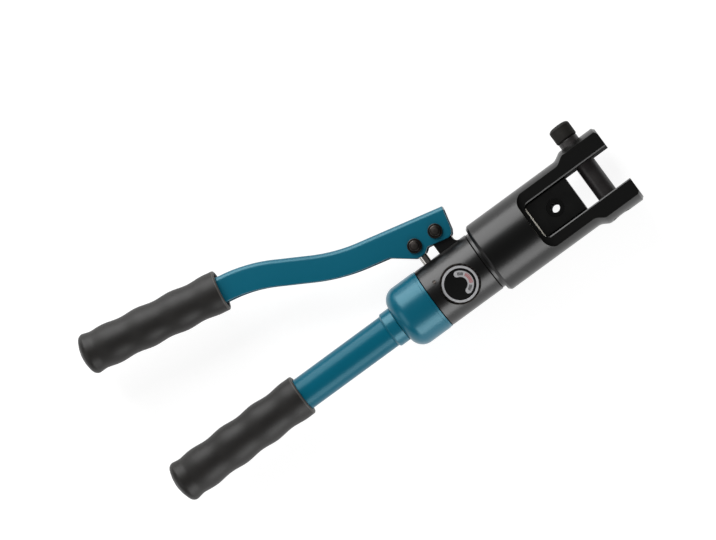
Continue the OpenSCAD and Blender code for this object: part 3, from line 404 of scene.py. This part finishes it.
def pocketCutter(back, half, corner, reach, low, high, flare=1):
    bm, front, step = bmesh.new(), fork["beyond"], back + corner + fork["cornerPast"]
    outline = [(front, reach), (step, reach), (step, half), (back, half), (back, -half), (step, -half),
               (step, -reach), (front, -reach)]
    verts = polyline(bm, [(x, y, low) for x, y in outline], closed=True)
    roundOff(bm, verts[3:5], corner, fork["cornerSteps"])
    bmesh.ops.remove_doubles(bm, verts=bm.verts, dist=weld)
    face = bmesh.ops.contextual_create(bm, geom=bm.edges[:])["faces"]
    top = vertsOf(bmesh.ops.extrude_face_region(bm, geom=face)["geom"])
    bmesh.ops.translate(bm, vec=(0, 0, (high - low) * mm), verts=top)
    bmesh.ops.scale(bm, vec=(1, flare, 1), verts=top)
    return bm


def cutAway(blank, cutters):
    items = [asObject(blank, "blank")] + [asObject(cutter, "cutter") for cutter in cutters]
    for item in items[1:]:
        cut = items[0].modifiers.new("cut", "BOOLEAN")
        cut.operation, cut.solver, cut.object = "DIFFERENCE", "EXACT", item
    bm = bmesh.new()
    bm.from_object(items[0], bpy.context.evaluated_depsgraph_get())
    for item in items:  # only the cut shape is kept
        bpy.data.meshes.remove(item.data)
    return bm


def makeForkHead():
    low, high = boxMm("fork_head")
    barrel, tip = high.z - fork["inside"], high.y - fork["inside"]
    rear, front = low.x, high.x - fork["inside"]
    slotBack, slotHalf, flat, beyond = -fork["slotBack"], fork["slotHalf"], fork["flat"], fork["beyond"]
    bushFrom = slotBack + fork["bushLead"]
    blank = lathe([(bushFrom, 0), (bushFrom, fork["bushRadius"]), (fork["wallAt"], fork["bushRadius"]),
                   (fork["wallAt"], fork["spigotRadius"]), (rear, fork["spigotRadius"]),
                   (rear, barrel - fork["rearEdge"]), (rear + fork["rearEdge"], barrel),
                   (-fork["tipBack"] - fork["taper"], barrel), (-fork["tipBack"], tip),
                   (front - fork["tipEdge"], tip), (front, tip - fork["tipEdge"]), (front, 0)],
                  {6: fork["rearRound"], 7: fork["taperRound"], 8: fork["tipRound"]}, Matrix.Identity(4),
                  steps=fork["turnSteps"])
    bore = bmesh.new()
    bmesh.ops.create_cone(bore, cap_ends=True, segments=fork["boreSteps"], radius1=fork["boreRadius"] * mm,
                          radius2=fork["boreRadius"] * mm, depth=2 * beyond * mm,
                          matrix=Matrix.Rotation(math.pi / 2, 4, "X"))
    filedDepth = fork["filed"] * math.tan(math.radians(fork["filedSlope"]))
    filedFrom, filedTo = flat - filedDepth, flat + filedDepth
    flare = 1 + 2 * fork["filed"] / slotHalf  # twice the edge's width at twice its depth
    flats = (slotBack - fork["flatLead"], fork["flatHalf"], fork["flatCorner"], beyond)
    slot = (slotBack, slotHalf, fork["slotCorner"], slotHalf + fork["slotStep"])
    bm = cutAway(blank, [pocketCutter(*flats, flat, beyond), pocketCutter(*flats, -beyond, -flat),
                         pocketCutter(*slot, -beyond, beyond),
                         pocketCutter(*slot, filedFrom, filedTo, flare),
                         pocketCutter(*slot, -filedFrom, -filedTo, flare), bore])
    bmesh.ops.dissolve_degenerate(bm, edges=bm.edges, dist=weld)
    wallTo = (slotHalf + fork["wallBand"]) * mm
    for face in bm.faces:  # the slot's walls stay as the cutter left them
        isWall = abs(face.normal.y) > fork["wallFacing"] and abs(face.calc_center_median().y) < wallTo
        face.material_index = int(isWall)
    piece = standFor(bm, "fork_head", headPaint, sharpDeg=24)
    piece.data.materials.append(slotSteel)
    piece.modifiers.new("shading", "WEIGHTED_NORMAL").keep_sharp = True


makeForkHead()
print("fork head milled")


# Jaw pin and its knurled knob

pin = {"flush": 1.1, "endEdge": 0.8, "shoulderEdge": 0.8, "stud": 5}
knob = {"crown": 3, "crownPower": 0.45, "crownSteps": 9, "foot": 1.2, "footEdge": 0.8, "knurlDepth": 0.32,
        "knurlRows": 9, "knurlTeeth": 56, "touch": 0.01}


def makePin():
    low, high = boxMm("jaw_pin")
    radius, start = high.x, low.y - pin["flush"]  # the end closes the bore's mouth in the far prong
    length, shoulder, stud = high.y - start, boxMm("pin_knob")[0].y - start, pin["stud"]
    bm = lathe([(0, 0), (0, radius), (shoulder, radius), (shoulder, stud), (length, stud), (length, 0)],
               {1: pin["endEdge"], 2: pin["shoulderEdge"]}, place(0, start, 0, aboutZ=math.pi / 2))
    # the pin's lighter tone holds a painted highlight
    standFor(bm, "jaw_pin", pinSteelPaintedSheen)


def makeKnob():
    low, high = boxMm("pin_knob")
    radius, knurlTo = high.x, high.y - low.y - knob["crown"]
    step, teeth = (knurlTo - knob["foot"]) / knob["knurlRows"], knob["knurlTeeth"]
    bore, depth = pin["stud"], boxMm("jaw_pin")[1].y - low.y
    outline = [(depth, 0), (depth, bore), (0, bore), (0, radius - knob["footEdge"])]
    outline += [(knob["foot"] + step * i, radius) for i in range(knob["knurlRows"] + 1)]
    for i in range(1, knob["crownSteps"] + 1):  # the crown rounds over into a dome
        a = math.pi / 2 * i / knob["crownSteps"]
        outline.append((knurlTo + knob["crown"] * math.sin(a), radius * math.cos(a) ** knob["crownPower"]))
    bm = lathe(outline, {}, Matrix.Identity(4), steps=teeth)
    for vert in bm.verts:  # every second point of the knurled stretch sinks, which leaves diamonds
        along, around = vert.co.x / mm, math.atan2(vert.co.z, vert.co.y)
        out = Vector((0, vert.co.y, vert.co.z))
        row, tooth = round((along - knob["foot"]) / step), round(around / (2 * math.pi / teeth))
        if out.length > (radius - knob["touch"]) * mm and (row + tooth) % 2:
            vert.co -= out.normalized() * knob["knurlDepth"] * mm
    bmesh.ops.transform(bm, matrix=place(0, low.y, 0, aboutZ=math.pi / 2), verts=bm.verts)
    standFor(bm, "pin_knob", knurlOxide, sharpDeg=22)


makePin()
makeKnob()
print("pin and knob turned")


# Dial: plate with a raised silver ring, and a silver band with red ticks between two rows of black ones

dial = {"turn": 12, "plateEdge": 0.3, "ringOut": 14.1, "ringIn": 12.3, "ringHeight": 0.25, "ringSink": 0.1,
        "ringEdge": 0.2, "bandMid": 8.0, "bandWidth": 4.8, "bandSweep": 146, "bandHeight": 0.12,
        "bandSteps": 28, "endSteps": 12, "ticks": 5, "tickGap": 6.5, "tickWidth": 0.55, "tickLength": 2.4,
        "tickFirst": 42, "redTicks": 9, "redGap": 6.5, "redWidth": 0.6, "redLength": 2.8, "redMid": 8.5,
        "inkHeight": 0.03, "inkSink": 0.02}


def dialPlace():
    turn = Matrix.Rotation(math.radians(dial["turn"]), 4, "X")
    heights = [(turn.inverted() @ vert.co / mm).z for vert in nodes["dial_plate"].data.vertices]
    face = max(heights)
    at = Vector((centreMm("dial_bezel").x, 0, face)) * mm
    return turn @ Matrix.Translation(at), face - min(heights)


def sweepBand(mid, width, sweep):
    bm = bmesh.new()
    verts = polyline(bm, [(mid + side * width / 2, 0, 0) for side in (-1, 0, 1)])
    edges = bm.edges[:]
    bmesh.ops.transform(bm, matrix=Matrix.Rotation(math.radians(-sweep / 2), 4, "Z"), verts=verts)
    bmesh.ops.spin(bm, geom=verts + edges, cent=(0, 0, 0), axis=(0, 0, 1), angle=math.radians(sweep),
                   steps=dial["bandSteps"])
    for side in (-1, 1):  # round ends
        turn = Matrix.Rotation(math.radians(side * sweep / 2), 4, "Z")
        centre, tip = [bm.verts.new(turn @ Vector((x * mm, 0, 0))) for x in (mid, mid + width / 2)]
        edge = bm.edges.new((centre, tip))
        bmesh.ops.spin(bm, geom=[centre, tip, edge], cent=centre.co, axis=(0, 0, 1), angle=side * math.pi,
                       steps=dial["endSteps"])
    return bm


def tickRow(angles, mid, length, width):
    bm, stretch = bmesh.new(), Matrix.Diagonal((length * mm, width * mm, 1, 1))
    for angle in angles:
        at = Matrix.Rotation(math.radians(angle), 4, "Z") @ Matrix.Translation((mid * mm, 0, 0)) @ stretch
        bmesh.ops.create_grid(bm, x_segments=1, y_segments=1, size=0.5, matrix=at)
    return bm


def dialTrim(bm, name, material):
    finishMesh(bm, name, material, "pump")


def raisedPrint(bm, height, base, name, material, turn):
    bmesh.ops.remove_doubles(bm, verts=bm.verts, dist=weld)
    bmesh.ops.recalc_face_normals(bm, faces=bm.faces)
    top = vertsOf(bmesh.ops.extrude_face_region(bm, geom=bm.faces[:])["geom"])
    bmesh.ops.translate(bm, vec=(0, 0, height * mm), verts=top)
    bmesh.ops.translate(bm, vec=(0, 0, base * mm), verts=bm.verts)
    bmesh.ops.transform(bm, matrix=turn, verts=bm.verts)
    dialTrim(bm, name, material)


def makeDial():
    turn, thick = dialPlace()
    spun = turn @ Matrix.Rotation(-math.pi / 2, 4, "Y")
    low, high = boxMm("dial_plate")
    radius = (high.x - low.x) / 2
    sink = dial["ringHeight"]  # the ring's top is the plate's highest line
    plate = lathe([(-thick, 0), (-thick, radius), (-sink, radius), (-sink, 0)],
                  {2: dial["plateEdge"]}, spun)
    standFor(plate, "dial_plate", dialBlack)
    foot, edge = -sink - dial["ringSink"], dial["ringEdge"]
    ringIn, ringOut = dial["ringIn"], dial["ringOut"]
    ring = lathe([(foot, ringIn), (0, ringIn), (0, ringOut), (foot, ringOut)], {1: edge, 2: edge}, spun,
                 closed=True)
    dialTrim(ring, "dialRing", dialSilver)
    band = sweepBand(dial["bandMid"], dial["bandWidth"], dial["bandSweep"])
    raisedPrint(band, dial["bandHeight"], -sink - dial["inkSink"], "dialBand", dialSilver, turn)
    base = dial["bandHeight"] - sink - dial["inkSink"]
    redAngles = [dial["redGap"] * (i - (dial["redTicks"] - 1) / 2) for i in range(dial["redTicks"])]
    red = tickRow(redAngles, dial["redMid"], dial["redLength"], dial["redWidth"])
    raisedPrint(red, dial["inkHeight"], base, "dialRedStretch", dialRed, turn)
    oneSide = [dial["tickFirst"] + dial["tickGap"] * i for i in range(dial["ticks"])]
    blackAngles = [-angle for angle in oneSide] + oneSide
    black = tickRow(blackAngles, dial["bandMid"], dial["tickLength"], dial["tickWidth"])
    raisedPrint(black, dial["inkHeight"], base, "dialTicks", dialBlack, turn)


makeDial()
print("dial printed")


# Lever: a sheet folded to a channel, drawn out along its spine and bent twice

lever = {"width": 18, "depth": 20.6, "sheet": 2.5, "foldRadius": 4, "foldSteps": 6, "slopeFront": 12.9,
         "slopeMid": 29.8, "slopeRear": 10.5, "frontLength": 70, "bendFrontRadius": 130, "midLength": 28.4,
         "bendRearRadius": 125, "gripLead": 5, "gripHold": 60, "noseLength": 12, "spineHeight": 15.6,
         "pivotLobe": 8.8, "noseRadius": 6, "plungerLobe": 9.6, "flangeRise": 37.7, "edge": 0.4,
         "step": 1.25, "bendSteps": 20, "touch": 0.01}


def backward(slope):
    return Vector((-math.cos(math.radians(slope)), math.sin(math.radians(slope)), 0))


def upward(slope):
    return Vector((math.sin(math.radians(slope)), math.cos(math.radians(slope)), 0))


def leverStart():
    pivot = Vector(joints["lever_swing"]["pos_m"]) / mm
    front = lever["slopeFront"]
    return pivot - lever["noseLength"] * backward(front) + lever["spineHeight"] * upward(front)


def flangeDepth(u, plungerSet):
    front = math.radians(lever["slopeFront"])
    lobeU = lever["noseLength"] + plungerSet * math.cos(front)
    lobeDepth = lever["spineHeight"] + plungerSet * math.sin(front)
    ramp = math.radians(lever["flangeRise"]) - front
    rampU = lobeU + lever["plungerLobe"] * math.sin(ramp)
    depths = [lever["depth"] if u >= lever["noseRadius"] else 0]
    if u <= lobeU:  # round nose and level stretch under the pivot
        corner = min(max(lever["noseRadius"] - u, 0), lever["noseRadius"])
        depths.append(lever["spineHeight"] + lever["pivotLobe"] - lever["noseRadius"]
                      + math.sqrt(lever["noseRadius"] ** 2 - corner ** 2))
    if abs(u - lobeU) < lever["plungerLobe"]:  # round lobe under the plunger's bolt
        depths.append(lobeDepth + math.sqrt(lever["plungerLobe"] ** 2 - (u - lobeU) ** 2))
    if u >= rampU:  # straight rise to the channel's own depth
        depths.append(lobeDepth + lever["plungerLobe"] * math.cos(ramp) - (u - rampU) * math.tan(ramp))
    return max(depths)


def pull(bm, ring, offset):
    fresh = bmesh.ops.extrude_edge_only(bm, edges=ring)["geom"]
    verts = vertsOf(fresh)
    bmesh.ops.translate(bm, vec=offset * mm, verts=verts)
    return [edge for edge in edgesOf(fresh) if all(vert in verts for vert in edge.verts)]


def bend(bm, ring, centre, degrees):
    verts = list(dict.fromkeys(vert for edge in ring for vert in edge.verts))
    turned = bmesh.ops.spin(bm, geom=ring + verts, cent=centre * mm, axis=(0, 0, 1),
                            angle=math.radians(degrees), steps=lever["bendSteps"])
    return edgesOf(turned["geom_last"])


def makeLever():
    spine = leverStart()
    front, mid, rear = lever["slopeFront"], lever["slopeMid"], lever["slopeRear"]
    half, depth, touch = lever["width"] / 2, lever["depth"], lever["touch"]
    bm = bmesh.new()
    verts = polyline(bm, [spine - drop * upward(front) + Vector((0, 0, across))
                          for drop, across in ((depth, -half), (0, -half), (0, half), (depth, half))])
    roundOff(bm, verts[1:3], lever["foldRadius"], lever["foldSteps"])
    ring = bm.edges[:]
    count = math.ceil(lever["frontLength"] / lever["step"])
    for i in range(count):
        ring = pull(bm, ring, backward(front) * lever["frontLength"] / count)
    at = spine + lever["frontLength"] * backward(front)
    centre = at + lever["bendFrontRadius"] * upward(front)
    ring = bend(bm, ring, centre, front - mid)
    at = centre - lever["bendFrontRadius"] * upward(mid)
    ring = pull(bm, ring, backward(mid) * lever["midLength"])
    centre = at + lever["midLength"] * backward(mid) - lever["bendRearRadius"] * upward(mid)
    ring = bend(bm, ring, centre, mid - rear)
    pull(bm, ring, backward(rear) * (lever["gripLead"] + lever["gripHold"]))
    plungerSet = joints["lever_swing"]["pos_m"][0] / mm - centreMm("plunger_bolt").x
    for vert in bm.verts:  # the lower edges of the front stretch take the flange's outline
        away = vert.co / mm - spine
        u, drop = away.dot(backward(front)), -away.dot(upward(front))
        if u < lever["frontLength"] + touch and abs(drop - depth) < touch:
            vert.co -= (flangeDepth(u, plungerSet) - depth) * upward(front) * mm
    piece = standFor(bm, "lever_channel", bluePaint, sharpDeg=50)
    wall = piece.modifiers.new("sheet", "SOLIDIFY")
    wall.thickness = lever["sheet"] * mm
    wall.offset = -1
    wall.use_even_offset = True
    roundEdges(piece, lever["edge"], limitDeg=50)
    return centre + lever["bendRearRadius"] * upward(rear)


spineEnd = makeLever()
print("lever folded")


# Rubber grips: finger waves, a rolled front lip and a rounded heel

grip = {"length": 120.35, "wave": 29, "waveDepth": 1.15, "waveStart": 8, "twist": 0.15, "lip": 1.6,
        "heel": 3, "dome": 4.5, "domeSteps": 3, "rim": 7, "mouth": 10, "pocket": 5, "pocketEdge": 0.9,
        "margin": 1, "rings": 96, "skin": 5, "face": 0.1, "tubeGap": 0.15, "leverGap": 3.4,
        "handleLead": 2.3}


def makeGrip(node, bore, turn):
    radius, lip, heel, margin = boxMm(node)[1].z, grip["lip"], grip["heel"], grip["margin"]
    rim = grip["length"] - grip["dome"]
    outline = [(grip["pocket"], 0), (grip["pocket"], bore), (grip["pocketEdge"], bore),
               (0, bore + grip["pocketEdge"]), (0, radius)]
    lipPoint = len(outline) - 1
    for i in range(grip["rings"] + 1):
        outline.append((lip + margin + (rim - heel - lip - 2 * margin) * i / grip["rings"], radius))
    outline.append((rim, radius))
    heelPoint = len(outline) - 1
    for i in range(grip["domeSteps"] + 1):  # the closed end bulges a little
        reach = (radius - heel - margin) * (1 - i / grip["domeSteps"])
        outline.append((grip["length"] - grip["dome"] * (reach / radius) ** 2, reach))
    bm = lathe(outline, {lipPoint: lip, heelPoint: heel}, Matrix.Identity(4))
    for vert in bm.verts:  # waves run round the grip and lean a little, as a hand would leave them
        out = Vector((0, vert.co.y, vert.co.z))
        if out.length < (radius - grip["skin"]) * mm or vert.co.x < grip["face"] * mm:
            continue
        around, along = math.atan2(vert.co.z, vert.co.y), vert.co.x / mm
        phase = 2 * math.pi * (along - grip["waveStart"]) / grip["wave"] + grip["twist"] * math.cos(around)
        fade = min((rim - heel - along) / grip["rim"], along / grip["mouth"])
        fade = min(max(fade, 0), 1)  # both rims keep their full size
        vert.co -= out.normalized() * grip["waveDepth"] / 2 * (1 - math.cos(phase)) * fade * mm
    for face in bm.faces:  # the rolled edge of the mouth takes a paler painted highlight
        centre = face.calc_center_median() / mm
        outer = math.hypot(centre.y, centre.z) > radius - lip
        face.material_index = int(0 < centre.x < lip and outer)
    bmesh.ops.transform(bm, matrix=turn, verts=bm.verts)
    piece = standFor(bm, node, gripRubber, sharpDeg=60)
    # the second material is the painted highlight round the mouth
    piece.data.materials.append(paintedHighlightRubber)


def makeGrips():
    front = boxMm("handle_grip")[1].x
    makeGrip("handle_grip", boxMm("handle_tube")[1].z + grip["tubeGap"],
             place(front + grip["handleLead"], 0, 0, aboutZ=math.pi))
    slope = lever["slopeRear"]
    at = spineEnd + lever["gripLead"] * backward(slope) - lever["depth"] / 2 * upward(slope)
    makeGrip("lever_grip", lever["depth"] / 2 + grip["leverGap"],
             place(at.x, at.y, 0, aboutZ=math.pi - math.radians(slope)))


makeGrips()
print("grips moulded")


# Bolts and nuts of the lever

bolt = {"shanks": {"pivot_bolt": 4, "plunger_bolt": 3}, "threadEnd": 0.6, "headRadius": 5.75,
        "seatEdge": 0.2, "flange": 1.7, "flangeEdge": 0.5, "groove": 0.45, "grooveDepth": 0.4,
        "domeRadius": 4.3, "domeRise": 1.1, "domeSteps": 7, "turnSteps": 48, "nutEdge": 0.6,
        "nutEdgeSteps": 2}


def makeBolt(node, shank):
    at, foot = centreMm(node), boxMm(node)[0].z
    seat = boxMm("bolt_nuts")[1].z + lever["width"] - foot  # the head sits on the lever's near face
    flange, dome = seat + bolt["flange"], bolt["domeRadius"]
    outline = [(0, 0), (0, shank), (seat, shank), (seat, bolt["headRadius"]), (flange, bolt["headRadius"]),
               (flange, dome + bolt["groove"]), (flange - bolt["grooveDepth"], dome)]
    for i in range(bolt["domeSteps"] + 1):  # the domed middle
        a = math.pi / 2 * (1 - i / bolt["domeSteps"])
        outline.append((flange + bolt["domeRise"] * math.cos(a), dome * math.sin(a)))
    turn = place(at.x, at.y, foot) @ Matrix.Rotation(-math.pi / 2, 4, "Y")
    bm = lathe(outline, {1: bolt["threadEnd"], 3: bolt["seatEdge"], 4: bolt["flangeEdge"]}, turn,
               steps=bolt["turnSteps"])
    standFor(bm, node, boltSteel, sharpDeg=40)


def makeNuts():
    low, high = boxMm("bolt_nuts")
    bm, height = bmesh.new(), (low.z + high.z) / 2
    radius = (high.y - low.y) / 2 / math.cos(math.pi / 6) * mm  # over the corners
    for node in bolt["shanks"]:
        at = centreMm(node)
        made = bmesh.ops.create_cone(bm, cap_ends=True, segments=6, radius1=radius, radius2=radius,
                                     depth=(high.z - low.z) * mm, matrix=place(at.x, at.y, height))
        fresh = set(made["verts"])
        edges = [edge for edge in bm.edges if edge.verts[0] in fresh]
        roundOff(bm, edges, bolt["nutEdge"], bolt["nutEdgeSteps"], affect="EDGES")
    standFor(bm, "bolt_nuts", boltSteel, sharpDeg=30)


for node, shank in bolt["shanks"].items():
    makeBolt(node, shank)
makeNuts()
print("bolts set")


# Springs: round wire wound to a coil, one for each spring that a joint lists as deforming

spring = {"sides": 10, "stepsPerTurn": 24}
coils = {"ram_return_spring": {"wire": 3, "turns": 5}, "suction_spring": {"wire": 0.7, "turns": 3},
         "delivery_spring": {"wire": 0.7, "turns": 4}, "relief_spring": {"wire": 0.7, "turns": 9}}


def makeSpring(node, coil):
    low, high = boxMm(node)
    wire, centre = coil["wire"], (low.y + high.y) / 2
    steps = coil["turns"] * spring["stepsPerTurn"]
    rise = (high.x - low.x - wire) / steps * mm
    bm = bmesh.new()
    bmesh.ops.create_circle(bm, segments=spring["sides"], radius=wire / 2 * mm,
                            matrix=place(low.x + wire / 2, high.y - wire / 2, 0))
    bmesh.ops.spin(bm, geom=bm.verts[:] + bm.edges[:], cent=(0, centre * mm, 0), axis=(1, 0, 0),
                   dvec=(rise, 0, 0), angle=2 * math.pi * coil["turns"], steps=steps)
    bmesh.ops.holes_fill(bm, edges=bm.edges, sides=0)
    piece = standFor(bm, node, springSteel)
    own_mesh(piece)


for joint in frame["joints"]:
    for bent in joint.get("deforming_nodes", []):
        makeSpring(bent["node"], coils[bent["node"]])
print("springs wound:", len(coils))


# Valve balls

ball = {"segments": 40, "rings": 20}


def makeBall(node):
    low, high = boxMm(node)
    bm = bmesh.new()
    bmesh.ops.create_uvsphere(bm, u_segments=ball["segments"], v_segments=ball["rings"],
                              radius=(high.z - low.z) / 2 * mm, matrix=place(*centreMm(node)))
    standFor(bm, node, groundSteel)


valveBalls = ("suction_ball", "delivery_ball", "relief_ball")
for node in valveBalls:
    makeBall(node)
print("balls ground:", len(valveBalls))


# Oil bladder: a moulded rubber sleeve with a waist behind its neck and a round closed end

bladder = {"wall": 1.5, "neck": 14, "lead": 6, "waist": 0.8, "endRound": 7}


def makeBladder():
    low, high = boxMm("oil_bladder")
    radius, length, wall = high.z, high.x - low.x, bladder["wall"]
    slim, neck = radius - bladder["waist"], bladder["neck"]
    waistAt, middle, bore = neck + bladder["lead"], length / 2, radius - wall
    outline = [(0, bore), (0, radius), (neck, radius), (waistAt, slim), (middle, radius), (length, radius),
               (length, 0), (length - wall, 0), (length - wall, bore), (middle, bore),
               (waistAt, slim - wall), (neck, bore)]
    bm = lathe(outline, {5: bladder["endRound"], 8: bladder["endRound"] - wall},
               place(high.x, 0, 0, aboutZ=math.pi), closed=True)
    standFor(bm, "oil_bladder", sealRubber)


makeBladder()
print("bladder moulded")


# Floor, light and camera

studio = {"floorDrop": 0.4, "floorSize": 6, "floorAt": (-0.18, 0.05), "floorGrey": 0.3, "floorGlow": 0.85,
          "worldGrey": 0.1}
camera = {"yaw": 6.3614, "pitch": -1.5, "roll": 36.0578, "targetX": -187.595, "targetY": 51.9139,
          "distance": 2822.3, "pixelsPerMm": 1.3076, "imageWidth": 716, "sensor": 36, "farthest": 50}
softboxes = {"upperSoftbox": {"away": (0, 1.0, 0.55), "height": 1.1, "length": 0.85, "power": 17.5},
             "lowerSoftbox": {"away": (0, -1.0, 0.36), "height": 0.65, "length": 0.85, "power": 9},
             "rearSoftbox": {"away": (-1.6, 0, 1.1), "height": 1.1, "length": 1.6, "power": 8}}


def cameraAxes():
    roll, yaw, pitch = (math.radians(camera[key]) for key in ("roll", "yaw", "pitch"))
    right = Vector((math.cos(roll), -math.sin(roll), 0))
    up = Vector((math.sin(roll), math.cos(roll), 0))
    back = Vector((0, 0, 1)) * math.cos(yaw) * math.cos(pitch) + right * math.sin(yaw) * math.cos(pitch) \
        + up * math.sin(pitch)
    right = up.cross(back).normalized()
    return right, back.cross(right), back


def makeCamera():
    right, up, back = cameraAxes()
    target = Vector((camera["targetX"], camera["targetY"], 0))
    data = bpy.data.cameras.new("photoCamera")
    data.sensor_width = camera["sensor"]
    data.lens = camera["pixelsPerMm"] * camera["distance"] / camera["imageWidth"] * camera["sensor"]
    data.clip_end = camera["farthest"]
    view = bpy.data.objects.new("photoCamera", data)
    bpy.context.scene.collection.objects.link(view)
    stand = Matrix((right, up, back)).transposed().to_4x4()
    stand.translation = (target + back * camera["distance"]) * mm
    view.matrix_world = stand
    bpy.context.scene.camera = view
    return target * mm


def makeFloor():
    bm = bmesh.new()
    bmesh.ops.create_grid(bm, x_segments=1, y_segments=1, size=studio["floorSize"] / 2)
    height = cadBox[0][2] - studio["floorDrop"] * mm
    bmesh.ops.translate(bm, vec=(*studio["floorAt"], height), verts=bm.verts)
    floor = asObject(bm, "floor")
    # Matt white paper: plain white to the eye and in reflections, and it takes the tool's shadow
    material, tree, shader = newMaterial("matt white paper", Roughness=1.0, Specular_IOR_Level=0.0)[:3]
    grey = studio["floorGrey"]
    shader.inputs["Base Color"].default_value = (grey, grey, grey, 1)
    rays = addNode(tree, "ShaderNodeLightPath")
    seen = addNode(tree, "ShaderNodeMath",
                   {0: rays.outputs["Is Camera Ray"], 1: rays.outputs["Is Glossy Ray"]},
                   operation="MAXIMUM")
    seen = addNode(tree, "ShaderNodeMath", {0: seen.outputs[0], 1: rays.outputs["Is Transmission Ray"]},
                   operation="MAXIMUM")
    glow = addNode(tree, "ShaderNodeMath", {0: seen.outputs[0], 1: studio["floorGlow"]},
                   operation="MULTIPLY")
    tree.links.new(glow.outputs[0], shader.inputs["Emission Strength"])
    shader.inputs["Emission Color"].default_value = (1, 1, 1, 1)
    floor.data.materials.append(material)


def makeWorld():
    world = bpy.data.worlds.new("studio")
    bpy.context.scene.world = world
    world.use_nodes = True
    grey = studio["worldGrey"]
    world.node_tree.nodes["Background"].inputs["Color"].default_value = (grey, grey, grey, 1)


def makeSoftbox(name, target, softbox):
    data = bpy.data.lights.new(name, "AREA")
    data.shape = "RECTANGLE"
    data.size, data.size_y, data.energy = softbox["height"], softbox["length"], softbox["power"]
    lamp = bpy.data.objects.new(name, data)
    bpy.context.scene.collection.objects.link(lamp)
    away = Vector(softbox["away"])
    facing = away.to_track_quat("Z", "X").to_matrix().to_4x4()
    lamp.matrix_world = Matrix.Translation(target + away) @ facing


target = makeCamera()
makeFloor()
makeWorld()
for name, softbox in softboxes.items():
    makeSoftbox(name, target, softbox)
bpy.context.scene.view_settings.view_transform = "Standard"
print("stage set")
